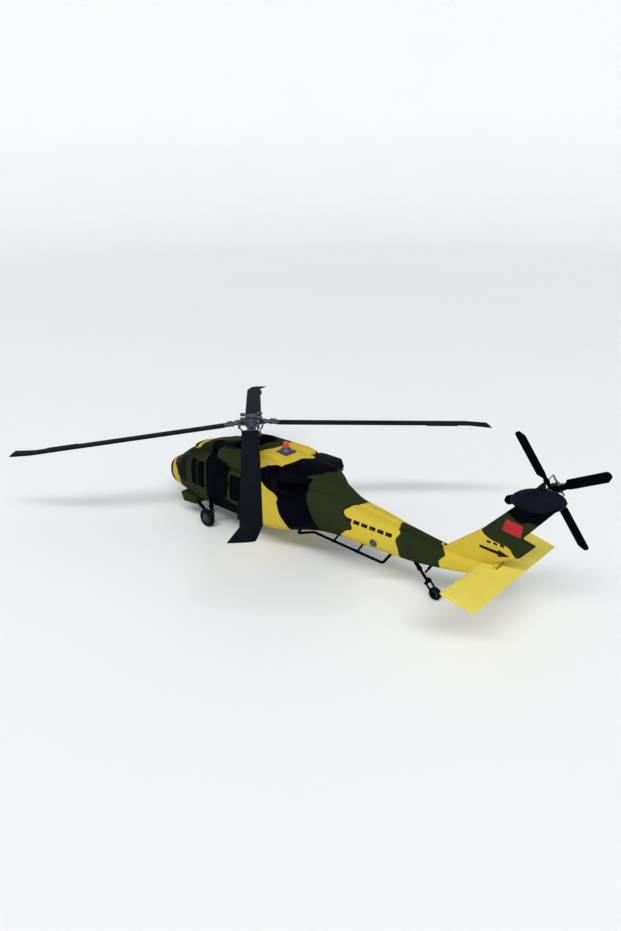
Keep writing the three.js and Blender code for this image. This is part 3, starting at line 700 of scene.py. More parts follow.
def floor_material():
    nodes = Nodes("pale_floor")
    reach = nodes.add("ShaderNodeVectorMath", {0: nodes.spot}, operation="LENGTH").outputs["Value"]
    # Painted shade and light: the floor, one even pale colour, is painted darker near the middle and lighter
    # far out.
    floor_painted_light_share = nodes.add("ShaderNodeMapRange", {0: reach, 1: 0.2, 2: 1.4}).outputs[0]
    colour = nodes.mix(floor_painted_light_share, (0.86, 0.88, 0.89, 1), (0.975, 0.98, 0.985, 1))
    colour = nodes.shade(colour, 0.985, 1.01, nodes.noise(160.0, 2.0))
    return nodes.finish(colour, 0.7, bump=(nodes.noise(1.5, 2.0), 0.05, 0.1), specular=0.2)


CAMO = camouflage()
GLASS = glazing()
BLADE = blade_paint("blade_charcoal", (0.0020, 0.0034, 0.0056, 1), (0.0050, 0.0074, 0.0108, 1))
TAIL_BLADE = blade_paint("tail_blade_black", (0.0006, 0.0008, 0.0016, 1), (0.0022, 0.0027, 0.0042, 1))
DARK_METAL = metal("gunmetal", (0.030, 0.034, 0.046, 1), (0.13, 0.145, 0.185, 1), 0.45)
PALE_METAL = metal("plain_steel", (0.12, 0.13, 0.155, 1), (0.34, 0.36, 0.40, 1), 0.38)
BLACK_PLASTIC = plastic(
    "black_plastic", (0.0008, 0.0010, 0.0018, 1), (0.0020, 0.0024, 0.0038, 1), 0.5, 0.012)
DOME_PLASTIC = plastic("dome_plastic", (0.0030, 0.0044, 0.0084, 1), (0.0058, 0.0078, 0.0138, 1), 0.5)
TYRE = plastic("tyre_rubber", (0.0035, 0.0038, 0.0055, 1), (0.0075, 0.008, 0.0105, 1), 0.72)
WHEEL_GREY = plastic("wheel_grey", (0.018, 0.020, 0.030, 1), (0.055, 0.058, 0.080, 1), 0.45, 0.2)
SOOT = plastic("duct_black", (0.0015, 0.0015, 0.002, 1), (0.0035, 0.0033, 0.0036, 1), 0.8, 0.0)
# A lighter copy of the camouflage yellow, used on the stabiliser: painted light for a part whose top faces
# the light.
STAB_YELLOW_WITH_PAINTED_LIGHT = painted(Nodes("stabiliser_yellow_painted_light"), (0.685, 0.575, 0.096, 1))
RED_PAINT = painted(Nodes("red_panel_paint"), (0.40, 0.027, 0.030, 1))
MARK_PAINT = painted(Nodes("dark_mark_paint"), (0.012, 0.012, 0.014, 1))
LENS = red_lens()


# ---------------------------------------------------------------- fuselage
HULL = smooth_rows(FUSELAGE)
HULL_FRONT = HULL[HULL[:, 0] > 34]
COWL_FRONT = smooth_rows(FORWARD_COWL)
COWL_REAR = smooth_rows(AFT_COWL)
PANE_GAP = 0.1


def body_loft(rows, inset=0.0, count=72):
    return loft([section(row, inset, count) for row in rows])


def panel(outline, corner, inner, outer, side, **more):
    """A patch on the hull with rounded corners."""
    return patch(HULL, rounded(outline, corner), inner, outer, side, **more)


def girdle(x):
    """A ring that cuts a fine groove right round the hull."""
    half, depth, count = 0.08, 0.1, 72
    levels = [(x + half, depth), (x + half, -0.4), (x - half, -0.4), (x - half, depth)]
    rings = [section(row_at(HULL, place), inset, count) for place, inset in levels]
    faces = []
    for i in range(4):
        faces += between(i, (i + 1) % 4, count)
    return [p for ring in rings for p in ring], faces


SIDE_WINDOWS = [
    ("cockpit_pane", COCKPIT_PANE),
    ("gunner_pane_front", GUNNER_PANES[0]),
    ("gunner_pane_rear", GUNNER_PANES[1]),
]
HATCHES = [
    [(30.0, 11.0), (30.0, 16.2), (18.6, 16.2), (18.6, 11.0)],
    [(-15.4, 17.0), (-15.4, 24.0), (-19.4, 24.0), (-19.4, 17.0)],
    [(-50.6, 20.0), (-50.6, 26.4), (-57.0, 26.4), (-57.0, 20.0)],
]
BOOM_JOINTS = (-60.5, -75.0, -91.0, -108.5)


def swing_room():
    """What the rear of the tilting stabiliser sweeps behind the end of the boom."""
    def reach(radius, degrees):
        angle = math.radians(degrees)
        return STAB_HINGE.x + radius * math.cos(angle), STAB_HINGE.z + radius * math.sin(angle)

    outer = [reach(12.0, degrees) for degrees in (162, 178, 194, 210, 228)]
    inner = [reach(2.5, degrees) for degrees in (242, 219, 196, 173, 150)]
    return prism(outer + inner, -8, 8)


def build_fuselage():
    shell = Shape(body_loft(HULL)).object("fuselage_shell")
    for _, side in SIDES:
        openings = Shape()
        for _, outline in SIDE_WINDOWS:
            openings.add(panel(outline, 0.9, 0.45, -1.5, side))
        openings.add(panel(CHIN_WINDOW, 1.2, 0.45, -1.5, side))
        openings.add(panel(CABIN_DOOR, 0.8, 0.55, -1.5, side))
        seams = Shape(panel(COCKPIT_DOOR, 1.2, 0.14, -1.5, side, ring=0.16))
        for outline in HATCHES:
            seams.add(panel(outline, 0.6, 0.12, -1.5, side, ring=0.14))
        brow = Shape(panel(EYEBROW, 0.6, 0.4, -1.5, side, along="Z", step=0.8))
        for cutter in (openings, seams, brow):
            carve(shell, cutter)
    joints = Shape()
    for x in BOOM_JOINTS:
        joints.add(girdle(x))
    carve(shell, joints)
    carve(shell, Shape(swing_room()))
    screen = Shape(prism(WINDSHIELD, -16, 16)).object("screen_cut")
    carve(screen, Shape(body_loft(HULL_FRONT, 0.5, 48)))
    carve(shell, Shape().take(screen))
    settle(shell, CAMO, nodes=("fuselage_left", "fuselage_right", "cabin_floor"))


def build_windshield():
    """Two front panes and two corner panes, with posts between them."""
    outline = shrunk(WINDSHIELD, PANE_GAP)
    for name, side in SIDES:
        for part, low, high in (("front", 0.35, 7.4), ("corner", 8.3, 16.0)):
            pane = Shape(prism(outline, low, high), side=side).object(f"windshield_{part}_{name}")
            carve(pane, Shape(body_loft(HULL_FRONT, 0.1, 64)), "INTERSECT")
            settle(pane, GLASS, nodes=("windshield",))
    posts = Shape()
    for low, high in ((-0.45, 0.45), (7.3, 8.4), (-8.4, -7.3)):
        post = Shape(prism(outline, low, high)).object("post")
        carve(post, Shape(body_loft(HULL_FRONT, -0.02, 64)), "INTERSECT")
        posts.take(post)
    piece("windshield_posts", posts, CAMO, nodes=("windshield",))


def build_side_windows():
    for name, side in SIDES:
        seal = Shape()
        for label, outline in SIDE_WINDOWS:
            pane = Shape(panel(shrunk(outline, PANE_GAP), 0.8, 0.6, 0.1, side))
            piece(f"{label}_{name}", pane, GLASS, nodes=(f"side_glazing_{name}",))
            seal.add(panel(outline, 0.9, 0.4, -0.06, side, ring=0.26))
        chin = Shape(panel(shrunk(CHIN_WINDOW, PANE_GAP), 1.1, 0.6, 0.1, side))
        piece(f"chin_pane_{name}", chin, GLASS, nodes=(f"chin_window_{name}",))
        seal.add(panel(CHIN_WINDOW, 1.2, 0.4, -0.05, side, ring=0.24))
        brow = Shape(panel(shrunk(EYEBROW, 0.1), 0.5, 0.6, 0.08, side, along="Z", step=0.8))
        piece(f"eyebrow_pane_{name}", brow, GLASS, nodes=(f"side_glazing_{name}",))
        piece(f"window_seals_{name}", seal, BLACK_PLASTIC, nodes=(f"side_glazing_{name}",))


def build_cabin_doors():
    """A sliding door that stands a little proud, with two windows, a handle and its rail."""
    for name, side in SIDES:
        door = Shape(panel(shrunk(CABIN_DOOR, 0.16), 0.7, 0.5, -0.12, side))
        door = door.object(f"cabin_door_{name}_skin")
        cuts = Shape()
        for outline in CABIN_PANES:
            cuts.add(panel(outline, 0.9, 0.22, -1.5, side))
        carve(door, cuts)
        settle(door, CAMO, nodes=(f"cabin_door_{name}",))
        seal = Shape()
        for label, outline in zip(("front", "rear"), CABIN_PANES):
            pane = Shape(panel(shrunk(outline, PANE_GAP), 0.8, 0.3, 0.0, side))
            piece(f"cabin_pane_{label}_{name}", pane, GLASS, nodes=(f"side_glazing_{name}",))
            seal.add(panel(outline, 0.9, 0.2, -0.2, side, ring=0.24))
        piece(f"door_seals_{name}", seal, BLACK_PLASTIC)
        fittings = Shape()
        grip = ((9.6, -0.1), (9.6, -0.55), (7.8, -0.55), (7.8, -0.1))
        handle = [side_point(HULL, x, 16.8, inset) for x, inset in grip]
        fittings.add(tube(bent(handle, 0.25), 0.16, 10), side=side)
        for z in (32.6, 11.2):
            rail = [(12.4, z), (12.4, z + 0.5), (-26.0, z + 0.5), (-26.0, z)]
            fittings.add(patch(HULL, rail, 0.3, -0.32, side))
        piece(f"door_rails_{name}", fittings, CAMO, nodes=(f"cabin_door_{name}",))


def dome_row(shape, start, end, count, side, radius=0.14):
    """A line of small rivet heads on the side of the hull between two [x, z] points."""
    dome = turned([(0, -0.1), (radius, -0.1), (radius, 0.0), (radius * 0.75, 0.07), (0, 0.1)], 8)
    for k in range(count):
        t = k / (count - 1)
        u = start[0] + (end[0] - start[0]) * t
        v = start[1] + (end[1] - start[1]) * t
        here, out = (Vector(side_point(HULL, u, v, inset)) for inset in (0.0, -1.0))
        aim = (out - here).normalized().to_track_quat("Z", "Y").to_matrix().to_4x4()
        shape.add(dome, Matrix.Translation(here) @ aim, side)


def build_rivets():
    for name, side in SIDES:
        rivets = Shape()
        for x in BOOM_JOINTS:
            for offset in (0.8, -0.8):
                row = row_at(HULL, x + offset)
                low, high = row[1] + 2.2, row[2] - 2.0
                dome_row(rivets, (x + offset, low), (x + offset, high), 7, side, 0.13)
        for x in (15.0, 30.9, -14.2, -20.4):
            dome_row(rivets, (x, 11.0), (x, 31.0), 14, side)
        dome_row(rivets, (30.0, 10.2), (-18.0, 10.2), 30, side)
        dome_row(rivets, (-24.0, 32.0), (-40.0, 33.4), 11, side)
        piece(f"rivets_{name}", rivets, CAMO)


def build_fin():
    half, bevel = 1.35, 0.3
    outline = rounded(FIN, 0.5, 2)
    inner = shrunk(outline, bevel)
    middle = shrunk(outline, bevel * 0.3)
    left = [(half - bevel, outline), (half - bevel * 0.3, middle), (half, inner)]
    levels = [(-y, line) for y, line in reversed(left)] + left
    fin = Shape(loft([[(x, y, z) for x, z in line] for y, line in levels])).object("tail_fin")
    split_caps(fin)
    carve(fin, Shape(swing_room()))
    settle(fin, CAMO, nodes=("fuselage_left", "fuselage_right"))


# ---------------------------------------------------------------- roof
def build_cowls():
    """Both cowls with their hatches, the front vents, and the open well round the mast."""
    vent = [(21.0, 3.2), (21.0, 6.4), (15.0, 6.8), (15.0, 3.2)]
    front_hatch = [(33.0, 0.5), (33.0, 4.6), (24.6, 5.6), (24.6, 0.5)]
    rear_hatches = [
        [(-8.0, 1.0), (-8.0, 7.2), (-15.6, 7.2), (-15.6, 1.0)],
        [(-27.6, 0.6), (-27.6, 6.8), (-38.0, 6.4), (-38.0, 0.6)],
    ]
    front_cuts, rear_cuts, grille = Shape(), Shape(), Shape()
    for _, side in SIDES:
        front_cuts.add(patch(COWL_FRONT, rounded(vent, 0.5), 0.5, -1.5, side, along="Z", step=0.8))
        seam = patch(COWL_FRONT, rounded(front_hatch, 0.5), 0.12, -1.5, side, 0.14, "Z", 0.8)
        front_cuts.add(seam)
        for hatch in rear_hatches:
            rear_cuts.add(patch(COWL_REAR, rounded(hatch, 0.6), 0.12, -1.5, side, ring=0.14, along="Z"))
        for k in range(6):
            x = 15.6 + k * 0.95
            z = top_point(COWL_FRONT, x, 4.8, 0)[2]
            grille.add(block((x - 0.18, 3.3, z - 0.5), (x + 0.18, 6.4, z - 0.08), 0.05, 1), side=side)
    for name, rows, cuts in (("forward_cowl", COWL_FRONT, front_cuts), ("aft_cowl", COWL_REAR, rear_cuts)):
        cowl = Shape(body_loft(rows, 0, 64)).object(f"{name}_skin")
        carve(cowl, cuts)
        settle(cowl, CAMO, nodes=(name,))
    piece("cowl_grilles", grille, BLACK_PLASTIC)
    well = Shape(block((-6.2, -8.6, 34.4), (5.6, 8.6, 35.9), 0.2))
    for _, side in SIDES:
        for k in range(5):
            x = -4.6 + k * 2.2
            well.add(tube([(x, 4.6, 35.8), (x, 6.8, 37.6), (x, 8.2, 38.4)], 0.32, 8), side=side)
    piece("mast_well", well, SOOT)


def build_nacelles():
    place = Matrix.Translation((0, NACELLE_Y, NACELLE_Z)) @ Matrix.Rotation(math.pi / 2, 4, "Y")
    body = [(0, -27), (3.6, -27), (4.2, -26.4), (4.7, -23.5), (4.9, -20), (4.9, -2), (4.86, 2), (4.7, 4.6),
            (4.35, 6.8), (4.0, 7.9), (3.75, 8.35), (3.5, 8.5), (3.27, 8.3), (3.15, 7.6), (3.1, 5.0), (0, 5.0)]
    core = [(0, 4.4), (3.05, 4.4), (3.05, 5.4), (1.7, 5.4), (1.6, 6.2), (1.2, 7.2), (0.6, 7.8), (0, 8.0)]
    for name, side in SIDES:
        nacelle = Shape(turned(body, 56), place, side)
        for x in (0.4, -10.5, -21.5):
            band = [(4.8, x - 0.35), (4.98, x - 0.25), (4.98, x + 0.25), (4.8, x + 0.35), (4.8, x - 0.35)]
            nacelle.add(turned(band, 56), place, side)
        piece(f"nacelle_{name}", nacelle, CAMO, nodes=(f"engine_nacelle_{name}",))
        inlet = Shape(turned(core, 40), place, side)
        for turn in spokes(10):
            inlet.add(block((1.4, -0.1, 5.3), (3.12, 0.1, 6.6), 0.03, 1), place @ turn, side)
        piece(f"intake_core_{name}", inlet, SOOT, nodes=(f"engine_nacelle_{name}",))


def build_exhausts():
    plan = [(-26.9, 6), (-26.9, 15.8), (-30, 16.9), (-38.6, 17.2), (-44.4, 11.8), (-44.4, 6)]
    profile = [(-26.9, 31.0), (-26.9, 38.8), (-44.4, 38.0), (-44.4, 37.2), (-40.6, 31.0)]
    outlet = [(-32.0, 14.2), (-32.0, 20), (-48, 20), (-48, 9.8), (-41, 12.8)]
    for name, side in SIDES:
        box = Shape(prism(plan, 30, 40, "Z")).object(f"exhaust_{name}_shell")
        carve(box, Shape(prism(profile, 0, 20)), "INTERSECT")
        carve(box, Shape(prism(outlet, 33.2, 37.0, "Z")))
        soften(box, 0.22, 2)
        if side < 0:
            mirror(box)
        settle(box, BLACK_PLASTIC, nodes=(f"exhaust_box_{name}",))
        vanes = Shape()
        for k in range(4):
            x = -33.2 - k * 2.3
            low, high = (x - 0.12, 12.2 - 0.2 * k, 33.0), (x + 0.12, 15.4 - 0.42 * k, 37.1)
            vanes.add(block(low, high, 0.05, 1), side=side)
        vanes.add(block((-42.5, 12.3, 34.9), (-32.2, 14.2, 35.15), 0.06, 1), side=side)
        piece(f"exhaust_vanes_{name}", vanes, SOOT, nodes=(f"exhaust_box_{name}",))


def build_lamp():
    x, deck = -20.8, 41.7
    base = Shape(block((x - 3.3, -3.3, deck - 0.6), (x + 3.3, 3.3, deck + 0.75), 0.25))
    cone = [(0, 0.4), (2.9, 0.4), (2.9, 0.9), (1.7, 2.25), (1.5, 2.45), (0, 2.45)]
    base.add(turned(cone, 8), Matrix.Translation((x, 0, deck)) @ Matrix.Rotation(math.pi / 8, 4, "Z"))
    stud = turned([(0, 0), (0.36, 0), (0.36, 0.16), (0.2, 0.26), (0, 0.26)], 6)
    for sx in (1, -1):
        for sy in (1, -1):
            base.add(stud, Matrix.Translation((x + sx * 2.7, sy * 2.7, deck + 0.7)))
    piece("lamp_pedestal", base, DARK_METAL, nodes=("lamp_base",))
    cap = Shape()
    profile = [(0, 2.4), (1.2, 2.4), (1.35, 2.55), (1.35, 2.8), (1.22, 2.9), (1.22, 4.0), (1.32, 4.1),
               (1.32, 4.5), (1.12, 4.8), (0.7, 4.9), (0, 4.9)]
    cap.add(turned(profile, 28), Matrix.Translation((x, 0, deck)))
    for k in range(12):
        angle = 2 * math.pi * k / 12
        foot = Vector((x + 1.22 * math.cos(angle), 1.22 * math.sin(angle), deck + 2.85))
        cap.add(tube([foot, foot + Vector((0, 0, 1.25))], 0.1, 6))
    piece("lamp_lens", cap, LENS, nodes=("lamp_cap",))


# ---------------------------------------------------------------- marks, all plain shapes
def build_marks():
    """Bars along the boom, an arrow and dashes on the fin, a red panel and a round hatch."""
    arrow = [
        (-118.8, 30.1), (-118.8, 31.1), (-126.2, 30.9), (-126.2, 31.6), (-130.6, 30.2), (-126.2, 28.8),
        (-126.2, 29.6),
    ]
    square = rounded([(-127.9, 44.2), (-134.2, 43.3), (-133.8, 38.6), (-126.7, 39.6)], 0.5)
    angles = [k * math.pi / 12 for k in range(24)]
    circle = [(-75.8 + 1.7 * math.cos(angle), 18.7 + 1.7 * math.sin(angle)) for angle in angles]
    marks, red, hatch = Shape(), Shape(), Shape()
    for _, side in SIDES:
        for k in range(6):
            x, z = -62.4 - 3.7 * k, 25.6 - 0.26 * k
            bar = [(x, z - 0.7), (x, z + 0.7), (x - 2.8, z + 0.5), (x - 2.8, z - 0.9)]
            marks.add(patch(HULL, bar, 0.2, -0.05, side, step=0.9))
        marks.add(prism(arrow, 1.2, 1.4), side=side)
        for k in range(3):
            x, z = -121.4 - 2.6 * k, 33.0 + 0.02 * k
            dash = [(x, z), (x, z + 0.9), (x - 1.6, z + 0.8), (x - 1.6, z - 0.1)]
            marks.add(prism(dash, 1.2, 1.4), side=side)
        red.add(prism(square, 1.2, 1.42), side=side)
        hatch.add(patch(HULL, circle, 0.2, -0.1, side, step=0.8))
    piece("plain_marks", marks, MARK_PAINT)
    piece("red_panel", red, RED_PAINT)
    piece("round_hatch", hatch, DARK_METAL)


# ---------------------------------------------------------------- landing gear
MAIN_WHEEL = joint_place("left_wheel_spin")
TAIL_WHEEL = joint_place("tail_wheel_spin")
WHEEL_WIDTH = 2.5
LEG_Y = 15.15


def build_wheel(name, body, centre, radius, width, bolts):
    """A grooved tyre on a dished hub with bolt heads."""
    half, rim = width / 2, radius * 0.56
    place = Matrix.Translation(centre) @ Matrix.Rotation(math.pi / 2, 4, "X")
    tread = [
        (rim + 0.02, -half * 0.8), (radius * 0.78, -half * 0.96), (radius * 0.88, -half),
        (radius * 0.95, -half * 0.8), (radius * 0.985, -half * 0.5),
    ]
    crown = []
    for spot in (-0.42, 0.0, 0.42):
        for size, offset in ((1, -0.14), (0.965, -0.07), (0.965, 0.07), (1, 0.14)):
            crown.append((radius * size, half * (spot + offset)))
    profile = tread + crown + [(r, -h) for r, h in reversed(tread)] + [tread[0]]
    piece(f"{name}_tyre_tread", Shape(turned(profile, 48), place), TYRE, body, (f"{name}_tyre",))
    dish = [
        (rim * 0.3, -half * 0.9), (rim * 0.5, -half * 0.92), (rim * 0.6, -half * 0.5),
        (rim * 0.86, -half * 0.5), (rim * 0.92, -half * 0.72), (rim + 0.06, -half * 0.76),
    ]
    hub = Shape(turned(dish + [(r, -h) for r, h in reversed(dish)] + [dish[0]], 40), place)
    nut = turned([(0, -0.06), (rim * 0.09, -0.06), (rim * 0.09, 0.14), (rim * 0.05, 0.2), (0, 0.2)], 6)
    for k in range(bolts):
        angle = 2 * math.pi * k / bolts
        x, y = rim * 0.73 * math.cos(angle), rim * 0.73 * math.sin(angle)
        for face, turn in ((1, 0.0), (-1, math.pi)):
            spot = Matrix.Translation((x, y, face * half * 0.5))
            hub.add(nut, place @ spot @ Matrix.Rotation(turn, 4, "X"))
    piece(f"{name}_hub_disc", hub, WHEEL_GREY, body, (f"{name}_hub",))


def build_main_gear():
    """On each side a wheel, its strut and drag beam, the step over them and the axle pin."""
    x, y, radius = MAIN_WHEEL
    for name, side in SIDES:
        centre = (x, y * side, radius)
        build_wheel(f"main_wheel_{name}", f"{name}_wheel", centre, radius, WHEEL_WIDTH, 8)
        strut = Shape()
        leg = [(x - 2.2, 16.4, 14.6), (x - 1.15, 15.74, 9.9), (x - 1.1, 15.7, 9.7), (x - 0.35, LEG_Y, 6.4)]
        strut.add(tube(leg, [1.05, 1.05, 0.72, 0.72], 20), side=side)
        strut.add(tube([(x - 1.24, 15.8, 10.3), (x - 1.08, 15.7, 9.7)], 1.2, 20), side=side)
        strut.add(tube([(x, LEG_Y - 0.9, radius), (x, LEG_Y + 0.9, radius)], 1.3, 24), side=side)
        strut.add(tube([(x - 0.35, LEG_Y, 6.9), (x, LEG_Y, radius)], [0.8, 1.0], 16), side=side)
        link = [(x - 2.0, 15.7, 9.6), (x - 3.0, 15.5, 7.9), (x - 1.3, LEG_Y, 5.6)]
        strut.add(tube(link, 0.28, 8), side=side)
        piece(f"strut_{name}", strut, BLACK_PLASTIC, nodes=(f"shock_strut_{name}",))
        beam = Shape(tube([(28.6, 14.3, 10.2), (x + 1.4, LEG_Y, radius + 0.1)], [1.0, 0.68], 16), side=side)
        beam.add(tube([(x + 1.9, LEG_Y, radius + 0.25), (x + 1.1, LEG_Y, radius)], 0.82, 16), side=side)
        piece(f"drag_beam_{name}_bar", beam, BLACK_PLASTIC, nodes=(f"drag_beam_{name}",))
        step = Shape(prism([(36.3, 11.8), (26.3, 11.2), (24.9, 8.0), (34.3, 7.2)], 10, 16.7))
        step = step.object(f"step_fairing_{name}")
        soften(step, 0.5, 3)
        if side < 0:
            mirror(step)
        settle(step, CAMO, nodes=(f"gear_fairing_{name}",))
        pin = [(0, -1.2), (0.6, -1.2), (0.75, -1.05), (0.75, 3.9), (1.1, 3.9), (1.2, 4.0), (1.2, 4.2),
               (0.9, 4.3), (0, 4.3)]
        place = Matrix.Translation((x, LEG_Y, radius)) @ Matrix.Rotation(-math.pi / 2, 4, "X")
        piece(f"axle_pin_{name}", Shape(turned(pin, 24), place, side), WHEEL_GREY,
              nodes=(f"main_axle_{name}",))


def build_tail_gear():
    x, _, radius = TAIL_WHEEL
    build_wheel("tail_wheel", "tail_wheel", (x, 0, radius), radius, 1.7, 6)
    crown_x, crown_z = x + 3.6, 6.5
    fork = Shape()
    leg = [(x + 12.8, 0, 16.2), (x + 7.6, 0, 10.7), (x + 7.4, 0, 10.5), (crown_x, 0, crown_z)]
    fork.add(tube(leg, [0.85, 0.85, 0.6, 0.6], 18))
    fork.add(tube([(crown_x + 4.5, 0, 11.2), (crown_x + 3.7, 0, 10.4)], 1.0, 18))
    fork.add(tube([(crown_x + 1.0, 0, crown_z + 1.1), (crown_x - 0.9, 0, crown_z + 1.4)], 0.6, 14))
    fork.add(tube([(crown_x, -1.75, crown_z), (crown_x, 1.75, crown_z)], 0.66, 16))
    fork.add(tube([(x, -1.75, radius), (x, 1.75, radius)], 0.45, 16))
    for y in (1.45, -1.45):
        fork.add(tube([(crown_x, y, crown_z), (crown_x - 1.9, y * 1.02, 4.6), (x, y, radius)], 0.42, 12))
        fork.add(tube([(x, y - 0.35, radius), (x, y + 0.35, radius)], 0.85, 20))
    piece("tail_fork", fork, BLACK_PLASTIC, nodes=("tail_gear_fork",))
    brace = Shape(tube([(-100.4, 0, 17.0), (-96.2, 0, 10.1)], 0.42, 12))
    brace.add(tube([(-99.0, 0, 14.7), (-97.4, 0, 12.1)], 0.58, 14))
    piece("tail_brace", brace, BLACK_PLASTIC, nodes=("tail_gear_brace",))


def build_antenna_rail():
    rail = Shape()
    path = [
        (-36.9, 7.2, 12.6), (-36.2, 9.2, 10.4), (-45.6, 9.0, 14.0), (-81.8, 8.8, 12.6), (-83.4, 4.0, 16.4),
    ]
    rail.add(tube(bent(path, 1.1), 0.58, 14))
    for low, top in (((-56.6, 8.9, 13.6), (-57.2, 5.0, 16.8)), ((-69.0, 8.8, 13.1), (-69.8, 4.4, 16.8))):
        rail.add(tube([low, top], 0.44, 12))
        x, y, z = low
        rail.add(tube([(x - 0.55, y, z + 0.02), (x + 0.55, y, z)], 0.76, 14))
    piece("antenna_tube", rail, BLACK_PLASTIC, nodes=("antenna_rail",))


# ---------------------------------------------------------------- wings and blades
def wing_section(thickness, points=14):
    """A wing section of unit chord as [along, height], nose at the origin and tail at -1."""
    stops = [(k / points) ** 1.7 for k in range(1, points + 1)]

    def half(t):
        bulge = 1.48 * math.sqrt(t) - 0.63 * t - 1.76 * t ** 2 + 1.42 * t ** 3 - 0.5 * t ** 4
        return thickness * bulge + 0.03 * thickness

    return [(0.0, 0.0)] + [(-t, half(t)) for t in stops] + [(-t, -half(t)) for t in reversed(stops)]


def build_stabiliser():
    place = Matrix.Translation(STAB_HINGE) @ Matrix.Rotation(STAB_REST, 4, "Y")
    half = STAB_SPAN / 2
    outline = wing_section(0.13)

    def ring(y, size):
        return [(STAB_NOSE + STAB_CHORD * t, y, h * STAB_CHORD * size) for t, h in outline]

    stops = [(-half, 0.62), (-half + 0.25, 0.86), (-half + 0.8, 1.0)]
    inner = [(k * (half - 0.8) / 8, 1.0) for k in range(-7, 8)]
    wing = Shape(loft([ring(y, s) for y, s in stops + inner + [(-y, s) for y, s in reversed(stops)]]))
    wing = wing.object("stabiliser_wing")
    cuts = Shape(prism([(-2.8, -3.4), (6, -3.4), (6, 3.4), (-2.8, 3.4)], -3, 3, "Z"))
    carve(wing, cuts)
    settle(wing, STAB_YELLOW_WITH_PAINTED_LIGHT, "stabiliser", ("stabiliser",), place)
    fittings = Shape(block((-1.6, 4.2, 0.3), (0.6, 4.9, 1.9), 0.12))
    fittings.add(tube([(-1.0, 3.9, 1.5), (-1.0, 5.2, 1.5)], 0.3, 12))
    piece("stabiliser_bracket", fittings, STAB_YELLOW_WITH_PAINTED_LIGHT, "stabiliser", place=place)
    pin = Shape(turned([(0, -7.6), (0.3, -7.6), (0.4, -7.5), (0.4, 7.5), (0.3, 7.6), (0, 7.6)], 20),
                Matrix.Rotation(math.pi / 2, 4, "X"))
    piece("stabiliser_hinge_pin", pin, PALE_METAL, "stabiliser", ("stabiliser_pin",), place)


def build_blade(number, arm):
    """A blade with a swept tip, a trim tab and two thin bands round it."""
    outline = wing_section(BLADE_THICKNESS / BLADE_CHORD)
    tip_start = BLADE_RADIUS - TIP_LENGTH

    def ring(r, nose_cut=0.0, tail_cut=0.0, thick=1.0):
        past = max(0.0, r - tip_start)
        front = BLADE_NOSE - nose_cut - past * math.tan(TIP_SWEEP)
        chord = BLADE_CHORD - nose_cut - tail_cut + past * TIP_FLARE
        return [(r, front + t * chord, h * BLADE_CHORD * thick - DROOP * r) for t, h in outline]

    rows = [ring(BLADE_ROOT, 1.3, 0.5), ring(BLADE_ROOT + 1.6)]
    rows += [ring(r) for r in np.linspace(14, tip_start, 22)]
    rows += [ring(tip_start + TIP_LENGTH * s) for s in (0.25, 0.5, 0.75, 0.96)]
    rows += [ring(BLADE_RADIUS, 0.15, 0.1, 0.6)]
    blade = Shape(loft(rows))
    tail = BLADE_NOSE - BLADE_CHORD
    tab = []
    for r in np.linspace(BLADE_RADIUS * 0.73, BLADE_RADIUS * 0.86, 6):
        z = -DROOP * r
        tab.append([(r, tail + 0.6, z - 0.13), (r, tail - 0.75, z - 0.1), (r, tail - 0.75, z + 0.1),
                    (r, tail + 0.6, z + 0.13)])
    blade.add(loft(tab))
    upper = ((BLADE_NOSE - 0.1, 0.05), (BLADE_NOSE - 1.2, 0.4), (BLADE_NOSE - 3.4, 0.43), (tail + 0.2, 0.1))
    girth = list(upper) + [(y, -up) for y, up in reversed(upper)]
    for r in (BLADE_ROOT + 5.2, tip_start - 0.4):
        blade.add(loft([[(r + dx, y, up - DROOP * r) for y, up in girth] for dx in (-0.12, 0.12)]))
    piece(f"blade_{number}_skin", blade, BLADE, "main_rotor", (f"main_blade_{number}",), arm)


